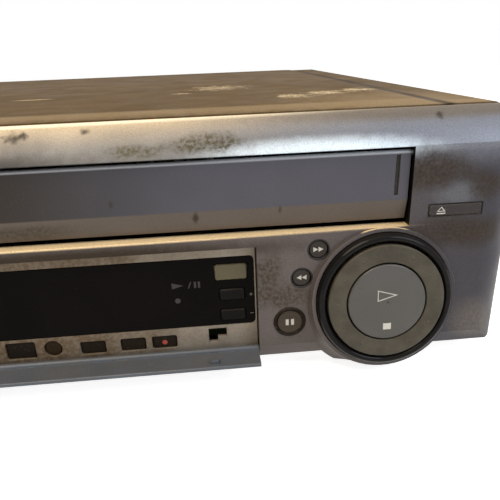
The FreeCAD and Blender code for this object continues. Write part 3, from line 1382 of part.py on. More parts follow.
def side_brackets(deck):
    """Two upright brackets with foot flanges and a window for the basket's pins."""
    y = (BASKET_FRONT, BASKET_FRONT + deck.basket_depth + deck.slide_in)
    inner, outer = bracket_inner(deck), bracket_outer(deck)
    pin_y, pin_z = basket_pin(deck)
    room = BASKET_PIN_RADIUS + FIT
    window_y = (pin_y - room, pin_y + deck.slide_in + room)
    window_z = (pin_z - BASKET_DROP - room, pin_z + room)
    top = basket_top(deck) + SLIDER_GAP + SLIDER_SHEET
    sides = []
    for sign in (-1, 1):
        x = sorted((deck.x + sign * inner, deck.x + sign * outer))
        foot_x = sorted((deck.x + sign * (inner - BRACKET_FOOT), deck.x + sign * outer))
        wall = box(x, y, (DECK_TOP, top))
        foot = box(foot_x, y, (DECK_TOP, DECK_TOP + BRACKET_SHEET))
        window = box((x[0] - 1, x[1] + 1), window_y, window_z)
        sides.append(join([wall, foot]).cut(window))
    return Part.makeCompound(sides)


def carriage_slider(deck):
    """Sliding yoke: two side bars with upright slots for the basket's pins, and a bridge above it."""
    inner = slider_inner(deck)
    outer = inner + SLIDER_SHEET
    pin_y, pin_z = basket_pin(deck)
    room = BASKET_PIN_RADIUS + FIT
    half_bar = deck.basket_depth / 4
    top = basket_top(deck) + SLIDER_GAP + SLIDER_SHEET
    low = pin_z - BASKET_DROP - 2 * room
    y = (pin_y - half_bar, pin_y + half_bar)
    slot_y = (pin_y - room, pin_y + room)
    slot_z = (pin_z - BASKET_DROP - room, pin_z + room)
    pieces = [box((deck.x - outer, deck.x + outer), (y[1] - half_bar / 2, y[1]), (top - SLIDER_SHEET, top))]
    slots = []
    for sign in (-1, 1):
        x = sorted((deck.x + sign * inner, deck.x + sign * outer))
        pieces.append(box(x, y, (low, top)))
        slots.append(box((x[0] - 1, x[1] + 1), slot_y, slot_z))
    return join(pieces).cut(slots)


def cassette_basket(deck):
    """Open-bottomed basket: side walls, ledges under the cassette, flaps over it and side pins."""
    inner = basket_inner(deck)
    outer = inner + BASKET_SHEET
    floor = basket_floor()
    top = basket_top(deck)
    y = (BASKET_FRONT, BASKET_FRONT + deck.basket_depth)
    pin_y, pin_z = basket_pin(deck)
    under = (floor - BASKET_SHEET, floor)
    reach = bracket_outer(deck) + BRACKET_SHEET
    pieces = [box((deck.x - outer, deck.x + outer), (y[0], y[0] + BASKET_LEDGE / 2), under)]
    for sign in (-1, 1):
        wall_x = sorted((deck.x + sign * inner, deck.x + sign * outer))
        shelf_x = sorted((deck.x + sign * (inner - BASKET_LEDGE), deck.x + sign * outer))
        pieces.append(box(wall_x, y, (under[0], top)))
        pieces.append(box(shelf_x, y, under))
        pieces.append(box(shelf_x, y, (top - BASKET_SHEET, top)))
        pin_start = Vec(deck.x + sign * inner, pin_y, pin_z)
        pin_end = Vec(deck.x + sign * reach, pin_y, pin_z)
        pieces.append(sided_bar(PIN_SIDES, BASKET_PIN_RADIUS, pin_start, pin_end))
    return join(pieces)


def drum_axis(deck):
    """Middle of the gap between the drum halves and the direction of the drum's tilted axis."""
    tilt = math.radians(DRUM_TILT)
    return (Vec(deck.x, drum_y(deck), DECK_TOP + deck.drum_height), Vec(math.sin(tilt), 0, math.cos(tilt)))


def drum_foot_half(deck):
    """Half size of the square foot under the lower drum, whose corners stay inside the drum's outline."""
    return deck.drum_radius * DRUM_FOOT_SHARE


def drum_base(deck):
    """Fixed lower drum on its foot, with the bearing bore."""
    middle, axis = drum_axis(deck)
    lower = sided_bar(WHEEL_SIDES, deck.drum_radius, middle - axis * 2 * deck.drum_height, middle)
    y = drum_y(deck)
    deep = deck.drum_radius * 3
    under = box((deck.x - deep, deck.x + deep), (y - deep, y + deep), (DECK_TOP - deep, DECK_TOP))
    half = drum_foot_half(deck)
    foot = box((deck.x - half, deck.x + half), (y - half, y + half), (DECK_TOP, DECK_TOP + DRUM_BASE_HEIGHT))
    bore = rod(DRUM_SHAFT_RADIUS + RUN, middle - axis * deck.drum_height * DRUM_BORE_SHARE, middle + axis)
    return join([lower.cut(under), foot]).cut(bore)


def drum_top(deck):
    """Turning upper drum with its shaft."""
    middle, axis = drum_axis(deck)
    top = middle + axis * deck.drum_height
    drum = sided_bar(WHEEL_SIDES, deck.drum_radius, middle + axis * DRUM_GAP, top)
    shaft = rod(DRUM_SHAFT_RADIUS, middle - axis * deck.drum_height * DRUM_SHAFT_SHARE, middle + axis)
    return join([drum, shaft])


def reel_top():
    """Top of the reel hubs."""
    return DECK_TOP + REEL_SHOULDER + FIT + REEL_FLANGE + REEL_HUB_HEIGHT


def reel_table(deck, side):
    """Reel table with its flange and three-winged hub; side is -1 for supply and 1 for take-up."""
    x, y = deck.x + side * deck.reel_spacing / 2, reel_y(deck)
    low = DECK_TOP + REEL_SHOULDER + FIT
    flange = sided_post(WHEEL_SIDES, deck.reel_radius, x, y, (low, low + REEL_FLANGE))
    hub_radius = deck.reel_hub_radius
    hub = hex_post(hub_radius, x, y, (low, reel_top()))
    wing_half = hub_radius * REEL_WING_WIDTH / 2
    wing_z = (low, reel_top() - hub_radius / 2)
    wings = []
    for index in range(REEL_WING_COUNT):
        wing = box((0, hub_radius * REEL_WING_REACH), (-wing_half, wing_half), wing_z)
        wing.rotate(Vec(0, 0, 0), Vec(0, 0, 1), 360 * index / REEL_WING_COUNT)
        wing.translate(Vec(x, y, 0))
        wings.append(wing)
    bore = upright(REEL_PIN_RADIUS + RUN, x, y, (low - 1, reel_top() - REEL_PIN_RADIUS + FIT))
    return join([flange, hub] + wings).cut(bore)


def capstan(deck):
    """Capstan shaft with its flywheel under the deck plate."""
    x, y = capstan_place(deck)
    wheel_top = DECK_BOTTOM - FIT
    wheel = sided_post(WHEEL_SIDES, deck.flywheel_radius, x, y, (wheel_top - FLYWHEEL_HEIGHT, wheel_top))
    shaft = upright(CAPSTAN_RADIUS, x, y, (wheel_top - FLYWHEEL_HEIGHT, DECK_TOP + CAPSTAN_HEIGHT))
    return join([wheel, shaft])


def capstan_motor():
    """Motor plate under the wide flywheel, hung from the deck plate by three posts."""
    x, y = capstan_place(WIDE)
    top = DECK_BOTTOM - FIT - FLYWHEEL_HEIGHT - 2 * FIT
    half = WIDE.flywheel_radius + MOTOR_RIM_ROOM + 2 * MOTOR_POST_RADIUS + MOTOR_RIM
    plate = box((x - half, x + half), (y - half, y + half), (top - MOTOR_SHEET, top))
    span = (top - MOTOR_SHEET, DECK_BOTTOM)
    posts = [hex_post(MOTOR_POST_RADIUS, px, py, span) for px, py in motor_posts()]
    return join([plate] + posts)


def pinch_arm_low():
    """Underside of the pinch arm."""
    return DECK_TOP + SLEEVE_HEIGHT + FIT


def pinch_arm_top():
    """Top of the pinch arm."""
    return pinch_arm_low() + PINCH_ARM_SHEET


def pinch_roller_place():
    """Roller pin with the arm swung clear of the capstan."""
    x, y = pinch_pivot()
    swing = math.radians(PINCH_ANGLE)
    return (x + PINCH_ARM_LENGTH * math.sin(swing), y - PINCH_ARM_LENGTH * math.cos(swing))


def pinch_arm():
    """Arm from its pivot to the roller pin."""
    x, y = pinch_pivot()
    pin_x, pin_y = pinch_roller_place()
    z = (pinch_arm_low(), pinch_arm_top())
    half = PINCH_ARM_WIDTH / 2
    bar = box((x - half / 2, x + half / 2), (y - PINCH_ARM_LENGTH, y), z)
    bar.rotate(Vec(x, y, 0), Vec(0, 0, 1), PINCH_ANGLE)
    bush = sided_post(PIN_SIDES, half + PINCH_PIN_RADIUS, x, y, z)
    tip = sided_post(PIN_SIDES, half, pin_x, pin_y, z)
    pin = sided_post(PIN_SIDES, PINCH_PIN_RADIUS, pin_x, pin_y, (z[0], z[1] + PINCH_HEIGHT + 2 * FIT))
    bore = upright(PINCH_PIVOT_RADIUS + RUN, x, y, (z[0] - 1, z[1] + 1))
    return join([bar, bush, tip, pin]).cut(bore)


def pinch_roller():
    """Rubber roller on the arm's pin."""
    x, y = pinch_roller_place()
    z = (pinch_arm_top() + FIT, pinch_arm_top() + FIT + PINCH_HEIGHT)
    roller = sided_post(WHEEL_SIDES, PINCH_RADIUS, x, y, z)
    return roller.cut(upright(PINCH_PIN_RADIUS + RUN, x, y, (z[0] - 1, z[1] + 1)))


def guide_post(side):
    """Loading guide: a base on the deck, a stem in the slot and a flanged post."""
    start, _ = guide_track(side)
    x, y = start.x, start.y
    low = DECK_TOP + FIT
    base_top = low + GUIDE_BASE_HEIGHT
    top = low + GUIDE_HEIGHT
    pieces = [hex_post(GUIDE_BASE_RADIUS, x, y, (low, base_top)),
              hex_post(GUIDE_STEM_RADIUS, x, y, (DECK_BOTTOM + FIT, low + 1)),
              sided_post(PIN_SIDES, GUIDE_POST_RADIUS, x, y, (base_top - 1, top)),
              hex_post(GUIDE_FLANGE_RADIUS, x, y, (top - GUIDE_POST_RADIUS, top))]
    return join(pieces)


def build():
    """Every node of the recorder, by name, with the main face of the panel at Y = 0."""
    nodes = {
        "front_panel": front_panel(),
        "wide_door": cassette_door(WIDE_DECK_X, WIDE_DOOR_WIDTH),
        "small_door": cassette_door(SMALL_DECK_X, SMALL_DOOR_WIDTH),
        "control_fascia": control_fascia(),
        "display_window": display_window(),
        "display_tube": display_tube(),
        "front_board": front_board(),
        "front_flap": front_flap(),
        "dial_bezel": dial_bezel(),
        "shuttle_ring": shuttle_ring(),
        "play_stop_button": play_stop_button(),
        "top_cover": top_cover(),
        "chassis_pan": chassis_pan(),
        "rear_panel": rear_panel(),
        "feet": feet(),
        "cover_screws": cover_screws(),
        "main_board": main_board(),
        "power_board": power_board(),
        "rear_jacks": rear_jacks(),
        "tuner_box": tuner_box(),
        "mains_inlet": mains_inlet(),
        "wide_capstan_motor": capstan_motor(),
        "wide_pinch_arm": pinch_arm(),
        "wide_pinch_roller": pinch_roller(),
        "wide_supply_guide": guide_post(-1),
        "wide_takeup_guide": guide_post(1),
    }
    for name, key in ALL_KEYS.items():
        nodes[name] = key.solid()
    for prefix, deck in (("wide", WIDE), ("small", SMALL)):
        nodes[prefix + "_deck_plate"] = deck_plate(deck)
        nodes[prefix + "_side_brackets"] = side_brackets(deck)
        nodes[prefix + "_slider"] = carriage_slider(deck)
        nodes[prefix + "_basket"] = cassette_basket(deck)
        nodes[prefix + "_drum_base"] = drum_base(deck)
        nodes[prefix + "_drum_top"] = drum_top(deck)
        nodes[prefix + "_supply_reel"] = reel_table(deck, -1)
        nodes[prefix + "_takeup_reel"] = reel_table(deck, 1)
        nodes[prefix + "_capstan"] = capstan(deck)
    return nodes


def footprint_middle(nodes):
    """Middle of the whole recorder along Y."""
    boxes = [shape.optimalBoundingBox(False, False) for shape in nodes.values()]
    return (min(b.YMin for b in boxes) + max(b.YMax for b in boxes)) / 2


def main():
    """Set the origin under the middle of the recorder and write one file per node."""
    nodes = build()
    back = Vec(0, -footprint_middle(nodes), 0)
    os.makedirs("parts", exist_ok=True)
    for name, shape in nodes.items():
        shape.translate(back)
        shape.exportStep("parts/" + name + ".step")


if __name__ == "__main__":
    main()
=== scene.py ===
"""Looks of a used twin-deck video cassette recorder, laid over its packed construction model."""
import json
import logging
import math
from dataclasses import dataclass, field, replace
from enum import Enum

import bpy
import numpy as np
from mathutils import Matrix


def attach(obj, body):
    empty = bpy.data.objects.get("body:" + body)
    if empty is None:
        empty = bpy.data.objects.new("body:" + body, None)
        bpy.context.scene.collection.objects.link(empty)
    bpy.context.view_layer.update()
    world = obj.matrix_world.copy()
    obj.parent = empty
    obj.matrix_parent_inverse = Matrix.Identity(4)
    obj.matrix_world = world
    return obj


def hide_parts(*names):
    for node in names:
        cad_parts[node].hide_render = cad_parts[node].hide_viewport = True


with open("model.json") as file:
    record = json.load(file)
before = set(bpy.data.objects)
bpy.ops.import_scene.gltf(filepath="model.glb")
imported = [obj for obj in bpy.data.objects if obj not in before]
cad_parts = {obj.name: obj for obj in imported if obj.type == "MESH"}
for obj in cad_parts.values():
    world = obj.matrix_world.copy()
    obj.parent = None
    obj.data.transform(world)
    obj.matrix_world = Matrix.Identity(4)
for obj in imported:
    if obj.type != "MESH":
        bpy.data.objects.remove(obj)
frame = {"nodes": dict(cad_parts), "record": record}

logging.basicConfig(level=logging.INFO, format="%(message)s")
LOG = logging.getLogger("recorder")

MM = 0.001
DEPTH_SHIFT = -190.713
HOUSING = "housing"
Colour = tuple[float, float, float]
Place = tuple[float, float, float]
Socket = bpy.types.NodeSocket
EVEN: Place = (1.0, 1.0, 1.0)
WHITE = (1.0, 1.0, 1.0)
FULL_TURN = 2 * math.pi
MIX_FIRST, MIX_SECOND, MIX_RESULT = 6, 7, 2
ROUND_STEPS = 7
DIAL_X = 160.4
DIAL_Z = 35.4


def model(points: np.ndarray) -> np.ndarray:
    """Turn millimetres (x, depth behind the panel's face, height) into model metres."""
    return (np.asarray(points, float) + np.array([0.0, DEPTH_SHIFT, 0.0])) * MM


class Axis(Enum):
    """Direction in the model's frame."""
    X = 0
    Y = 1
    Z = 2


class Way(Enum):
    """Way that an arrow sign points."""
    LEFT = -1
    RIGHT = 1


# Meshes from arrays

@dataclass(frozen=True)
class Seat:
    """Flat seat: an origin in millimetres, how far it leans back and how far it turns from the front."""
    origin: Place
    tilt: float = 0.0
    turn: float = 0.0

    def lay(self, flat: np.ndarray) -> np.ndarray:
        """Lay seat coordinates into the model.

        The seat turns about the upright axis, up leans back by the tilt, and outward is square to it.

        Args:
            flat: array whose last axis is right, up and out, in millimetres.

        Returns:
            Points in model metres.
        """
        lean, turn = math.radians(self.tilt), math.radians(self.turn)
        right = np.array([math.cos(turn), math.sin(turn), 0.0])
        ahead = np.array([math.sin(turn), -math.cos(turn), 0.0])
        upright = np.array([0.0, 0.0, 1.0])
        up = upright * math.cos(lean) - ahead * math.sin(lean)
        out = ahead * math.cos(lean) + upright * math.sin(lean)
        return model(np.asarray(flat, float) @ np.stack([right, up, out]) + np.array(self.origin))


def grid_quads(rows: int, columns: int, wrap_columns: bool) -> np.ndarray:
    """Index the four corners of every cell of a grid of points, whose last row joins the first.

    Args:
        rows: number of points along the first parameter.
        columns: number of points along the second parameter.
        wrap_columns: whether the last column joins the first.

    Returns:
        Array of shape (cells, 4) of point numbers.
    """
    across = columns if wrap_columns else columns - 1
    row, column = np.meshgrid(np.arange(rows), np.arange(across), indexing="ij")
    next_row, next_column = (row + 1) % rows, (column + 1) % columns
    corners = [row * columns + column, next_row * columns + column,
               next_row * columns + next_column, row * columns + next_column]
    return np.stack(corners, axis=-1).reshape(-1, 4)


@dataclass
class Shape:
    """Points and faces gathered from several surfaces."""
    points: list[np.ndarray] = field(default_factory=list)
    faces: list[np.ndarray] = field(default_factory=list)
    count: int = 0

    def add(self, points: np.ndarray, faces: np.ndarray) -> None:
        """Add points in model metres and the faces that number them."""
        self.points.append(points)
        self.faces.append(faces + self.count)
        self.count += len(points)

    def add_grid(self, points: np.ndarray, wrap_columns: bool = True) -> None:
        """Add a surface over two parameters, which closes round the first and maybe the second."""
        rows, columns = points.shape[:2]
        self.add(points.reshape(-1, 3), grid_quads(rows, columns, wrap_columns))

    def add_turned(self, seat: Seat, profile: np.ndarray, steps: int) -> None:
        """Add a closed profile turned about a seat's outward axis.

        The first parameter is the angle round the axis and the second runs along the profile: right is
        the radius times the cosine, up the radius times the sine, and out the height.

        Args:
            seat: where the axis starts and leans.
            profile: array of (radius, height) in millimetres.
            steps: number of steps round the axis.
        """
        turn = np.linspace(0.0, FULL_TURN, steps, endpoint=False)[:, None]
        radius = profile[None, :, 0]
        height = np.broadcast_to(profile[None, :, 1], (steps, len(profile)))
        self.add_grid(seat.lay(np.stack([radius * np.cos(turn), radius * np.sin(turn), height], axis=-1)))

    def object(self, name: str, smooth: bool) -> bpy.types.Object:
        """Make and link the mesh object at the origin, shaded smooth or flat."""
        mesh = bpy.data.meshes.new(name)
        points = np.concatenate(self.points)
        totals = np.concatenate([np.full(len(block), block.shape[1]) for block in self.faces])
        corners = np.concatenate([block.ravel() for block in self.faces])
        mesh.vertices.add(len(points))
        mesh.vertices.foreach_set("co", points.astype(np.float32).ravel())
        mesh.loops.add(len(corners))
        mesh.loops.foreach_set("vertex_index", corners.astype(np.int32))
        mesh.polygons.add(len(totals))
        mesh.polygons.foreach_set("loop_start", (np.cumsum(totals) - totals).astype(np.int32))
        mesh.polygons.foreach_set("use_smooth", np.full(len(totals), smooth))
        mesh.update(calc_edges=True)
        mesh.validate()
        made = bpy.data.objects.new(name, mesh)
        bpy.context.scene.collection.objects.link(made)
        return made


def rounded(centre: tuple[float, float], radius: float, start: float, end: float,
            steps: int) -> np.ndarray:
    """Points on an arc about a centre, from one angle to another in degrees."""
    angle = np.radians(np.linspace(start, end, steps))
    return np.array(centre) + radius * np.stack([np.cos(angle), np.sin(angle)], axis=-1)


# Finishes

@dataclass(frozen=True)
class StainAndLightPatch:
    """Ragged patch of another colour, at a place in millimetres from the panel's face; stains, painted
    highlights and painted shade all take this form.
    """
    place: Place
    reach: Place
    colour: Colour
    strength: float
    ragged: float = 0.9
    scale: float = 220.0
    mottle: float = 0.0


@dataclass(frozen=True)
class Zone:
    """Colour that comes in along one axis, between two places in millimetres from the panel's face."""
    axis: Axis
    start: float
    end: float
    colour: Colour
    strength: float = 1.0
    upward: bool = False
    inward: bool = False


class Sketch:
    """Shader nodes of one material, added one at a time."""

    PATCH_EDGE = (1.05, 0.3)
    PATCH_DETAIL = 5.0
    FLECK_SCALE = 650.0
    FLECK_DETAIL = 6.0
    FLECK_SPAN = (0.38, 0.62)
    SQUARE_ON = (0.7, 0.95)
    BETWEEN_SIDES = (205.0 * MM, 200.0 * MM)

    def __init__(self, name: str) -> None:
        """Start an empty material of that name."""
        self.material = bpy.data.materials.new(name)
        self.material.use_nodes = True
        self.tree = self.material.node_tree
        self.tree.nodes.clear()
        self.coords = self.node("ShaderNodeTexCoord").outputs["Object"]
        self.clouds: dict[tuple[float, float, Place], Socket] = {}

    def node(self, kind: str, **settings: object) -> bpy.types.Node:
        """Add a node of Blender's own kind, with these attributes set."""
        made = self.tree.nodes.new(kind)
        for name, value in settings.items():
            setattr(made, name, value)
        return made

    def feed(self, socket: Socket, value: object) -> None:
        """Link an input to another node's output, or set it to a number or a colour."""
        if isinstance(value, Socket):
            self.tree.links.new(value, socket)
        elif isinstance(value, tuple) and socket.type == "RGBA":
            socket.default_value = (*value, 1.0)
        else:
            socket.default_value = value

    def number(self, operation: str, first: object, second: object = 0.0) -> Socket:
        """Work out one number from two numbers or outputs."""
        node = self.node("ShaderNodeMath", operation=operation)
        self.feed(node.inputs[0], first)
        self.feed(node.inputs[1], second)
        return node.outputs[0]

    def product(self, first: object, *others: object) -> Socket:
        """Multiply numbers or outputs."""
        for other in others:
            first = self.number("MULTIPLY", first, other)
        return first

    def span(self, value: object, low: float, high: float, start: float = 0.0,
             end: float = 1.0) -> Socket:
        """Map a number or output smoothly, so that low gives the start and high the end."""
        node = self.node("ShaderNodeMapRange", interpolation_type="SMOOTHSTEP")
        for socket, given in zip(node.inputs, (value, low, high, start, end)):
            self.feed(socket, given)
        return node.outputs[0]

    def blend(self, amount: object, first: object, second: object) -> Socket:
        """Mix two colours or outputs, with this share of the second."""
        node = self.node("ShaderNodeMix", data_type="RGBA")
        self.feed(node.inputs[0], amount)
        self.feed(node.inputs[MIX_FIRST], first)
        self.feed(node.inputs[MIX_SECOND], second)
        return node.outputs[MIX_RESULT]

    def mapped(self, scale: Place, shift: Place = (0.0, 0.0, 0.0)) -> Socket:
        """Object coordinates, scaled and then shifted."""
        node = self.node("ShaderNodeMapping")
        self.feed(node.inputs["Vector"], self.coords)
        node.inputs["Scale"].default_value = scale
        node.inputs["Location"].default_value = shift
        return node.outputs[0]

    def noise(self, scale: float, detail: float, stretch: Place = EVEN) -> Socket:
        """Cloudy noise over the object's coordinates, made once for each scale, detail and stretch."""
        key = (scale, detail, stretch)
        if key not in self.clouds:
            node = self.node("ShaderNodeTexNoise")
            self.feed(node.inputs["Vector"], self.mapped(stretch))
            node.inputs["Scale"].default_value = scale
            node.inputs["Detail"].default_value = detail
            self.clouds[key] = node.outputs["Fac"]
        return self.clouds[key]

    def component(self, vector: Socket, axis: Axis) -> Socket:
        """One component of a vector."""
        node = self.node("ShaderNodeSeparateXYZ")
        self.feed(node.inputs[0], vector)
        return node.outputs[axis.value]

    def along(self, axis: Axis) -> Socket:
        """Object coordinate along one axis, in metres."""
        return self.component(self.coords, axis)

    def facing(self, axis: Axis) -> Socket:
        """Cosine between the surface's normal and one axis."""
        return self.component(self.node("ShaderNodeNewGeometry").outputs["Normal"], axis)

    def patch(self, mark: StainAndLightPatch) -> Socket:
        """Ragged mask of a patch, for stains, painted highlights and painted shade alike.

        Args:
            mark: where the patch lies and how far it reaches.

        Returns:
            Share from nothing to the patch's strength.
        """
        centre = model(np.array(mark.place))
        reach = np.array(mark.reach) * MM
        length = self.node("ShaderNodeVectorMath", operation="LENGTH")
        self.feed(length.inputs[0], self.mapped(tuple(1.0 / reach), tuple(-centre / reach)))
        swing = self.number("SUBTRACT", self.noise(mark.scale, self.PATCH_DETAIL), 0.5)
        ragged = self.product(swing, 2 * mark.ragged)
        distance = self.number("ADD", length.outputs["Value"], ragged)
        mask = self.span(distance, *self.PATCH_EDGE, 0.0, mark.strength)
        if mark.mottle > 0.0:
            cloud = self.noise(self.FLECK_SCALE, self.FLECK_DETAIL)
            flecks = self.span(cloud, *self.FLECK_SPAN, 1.0 - mark.mottle, 1.0)
            mask = self.product(mask, flecks)
        return mask

    def share(self, zone: Zone) -> Socket:
        """Mask of a zone, from nothing to the zone's strength."""
        shift = DEPTH_SHIFT if zone.axis is Axis.Y else 0.0
        start, end = (zone.start + shift) * MM, (zone.end + shift) * MM
        mask = self.span(self.along(zone.axis), start, end, 0.0, zone.strength)
        if zone.upward:
            mask = self.product(mask, self.span(self.facing(Axis.Z), *self.SQUARE_ON))
        if zone.inward:
            sideways = self.span(self.number("ABSOLUTE", self.facing(Axis.X)), *self.SQUARE_ON)
            inside = self.span(self.number("ABSOLUTE", self.along(Axis.X)), *self.BETWEEN_SIDES)
            mask = self.product(mask, sideways, inside)
        return mask


COARSE = 2.0
FINE = 5.0
CLOUD = (0.3, 0.7)
BEVEL_SAMPLES = 4
EDGE_ROUND = 0.25 * MM
EDGE_BEND = (0.995, 0.85)
CHIP_SCALE = 160.0
CHIP_SPAN = (0.4, 0.62)
SPECK_SCALE = 900.0
SPECK_SPAN = (0.6, 0.75)
FLAKE_SCALE = 2400.0
DUST_LEAN = (0.2, 0.95)
DUST_SCALE = 70.0
DUST_DETAIL = 6.0
DUST_LEAST = 0.35
DUST_DULLS = 0.3
SMEAR_SCALE = 45.0
SMEAR_DETAIL = 4.0
GRAIN_DEPTH = 0.1 * MM


@dataclass(frozen=True)
class Finish:
    """Look of a material: two tones with some painted highlight zones, grain, roughness, settled dust,
    edge wear, stains and painted light patches, and painted shade in recesses.
    """
    name: str
    base: Colour
    tint: Colour
    rough: tuple[float, float]
    metallic: float = 0.0
    specular: float = 0.22
    tone_scale: float = 30.0
    grain_scale: float = 1800.0
    grain: float = 0.12
    stretch: Place = EVEN
    dust: Colour = (0.20, 0.15, 0.10)
    speckle: float = 0.25
    settle: float = 0.3
    wear: Colour = (0.4, 0.38, 0.34)
    wear_share: float = 0.25
    flake: float = 0.0
    zones: tuple[Zone, ...] = ()
    # stains, together with patches of painted highlight and painted shade
    stains_and_light: tuple[StainAndLightPatch, ...] = ()
    # painted shade: zones that darken the walls inside recesses, laid last
    painted_shade: tuple[Zone, ...] = ()

    def clean(self, sketch: Sketch) -> Socket:
        """Colour of the clean finish, from its two tones and its zones, some of which are painted
        highlights.
        """
        tone = sketch.span(sketch.noise(self.tone_scale, FINE), *CLOUD)
        colour = sketch.blend(tone, self.base, self.tint)
        for zone in self.zones:
            colour = sketch.blend(sketch.share(zone), colour, zone.colour)
        return colour

    def worn(self, sketch: Sketch, colour: Socket, bevel: Socket) -> Socket:
        """Rub the colour off along the edges, in chips.

        Args:
            sketch: material being made.
            colour: colour so far.
            bevel: rounded normal, which leaves the true one at an edge.

        Returns:
            The worn colour.
        """
        bend = sketch.node("ShaderNodeVectorMath", operation="DOT_PRODUCT")
        sketch.feed(bend.inputs[0], bevel)
        sketch.feed(bend.inputs[1], sketch.node("ShaderNodeNewGeometry").outputs["Normal"])
        rubbed = sketch.span(bend.outputs["Value"], *EDGE_BEND)
        chips = sketch.span(sketch.noise(CHIP_SCALE, FINE), *CHIP_SPAN)
        share = sketch.product(rubbed, chips, self.wear_share)
        return sketch.blend(share, colour, self.wear)

    def glinting(self, sketch: Sketch, colour: Socket) -> Socket:
        """Vary the brightness of a colour in fine flakes."""
        cloud = sketch.noise(FLAKE_SCALE, COARSE)
        glint = sketch.span(cloud, *CLOUD, 1.0 - self.flake, 1.0 + self.flake)
        scaled = sketch.node("ShaderNodeVectorMath", operation="SCALE")
        sketch.feed(scaled.inputs[0], colour)
        sketch.feed(scaled.inputs["Scale"], glint)
        return scaled.outputs[0]

    def settled(self, sketch: Sketch) -> Socket:
        """Share of dust that has settled on faces that look up."""
        upward = sketch.span(sketch.facing(Axis.Z), *DUST_LEAN)
        clouds = sketch.span(sketch.noise(DUST_SCALE, DUST_DETAIL), *CLOUD, DUST_LEAST, 1.0)
        return sketch.product(upward, clouds, self.settle)

    def material(self) -> bpy.types.Material:
        """Build the material: clean colour with painted highlight zones, wear, stains and painted light
        patches, specks, flakes, dust, painted shade in recesses and grain.
        """
        sketch = Sketch(self.name)
        bevel = sketch.node("ShaderNodeBevel", samples=BEVEL_SAMPLES)
        bevel.inputs["Radius"].default_value = EDGE_ROUND
        colour = self.worn(sketch, self.clean(sketch), bevel.outputs[0])
        for mark in self.stains_and_light:
            colour = sketch.blend(sketch.patch(mark), colour, mark.colour)
        specks = sketch.span(sketch.noise(SPECK_SCALE, COARSE), *SPECK_SPAN, 0.0, self.speckle)
        colour = sketch.blend(specks, colour, self.dust)
        if self.flake > 0.0:
            colour = self.glinting(sketch, colour)
        dusty = self.settled(sketch)
        colour = sketch.blend(dusty, colour, self.dust)
        # painted shade inside recesses, laid over everything else
        for shade_zone in self.painted_shade:
            colour = sketch.blend(sketch.share(shade_zone), colour, shade_zone.colour)
        smear = sketch.span(sketch.noise(SMEAR_SCALE, SMEAR_DETAIL), *CLOUD, *self.rough)
        rough = sketch.number("ADD", smear, sketch.product(dusty, DUST_DULLS))
        bump = sketch.node("ShaderNodeBump")
        bump.inputs["Strength"].default_value = self.grain
        bump.inputs["Distance"].default_value = GRAIN_DEPTH
        sketch.feed(bump.inputs["Height"], sketch.noise(self.grain_scale, COARSE, self.stretch))
        sketch.feed(bump.inputs["Normal"], bevel.outputs[0])
        shader = sketch.node("ShaderNodeBsdfPrincipled")
        inputs = {"Base Color": colour, "Roughness": rough, "Normal": bump.outputs[0],
                  "Metallic": self.metallic, "Specular IOR Level": self.specular}
        for name, value in inputs.items():
            sketch.feed(shader.inputs[name], value)
        output = sketch.node("ShaderNodeOutputMaterial")
        sketch.feed(output.inputs["Surface"], shader.outputs[0])
        return sketch.material


BROWN = (0.03, 0.02, 0.012)
MUD = (0.045, 0.035, 0.02)
CREAM = (0.85, 0.72, 0.48)
# painted highlight of the warm lamp, on the ledge and on up-facing edges
LEDGE_HIGHLIGHT = (0.95, 0.74, 0.45)
SHADE = (0.03, 0.022, 0.015)
BAND = (0.17, 0.171, 0.177)
# painted cool light, as from a window on the right
PAINTED_COOL_LIGHT = (0.19, 0.21, 0.26)

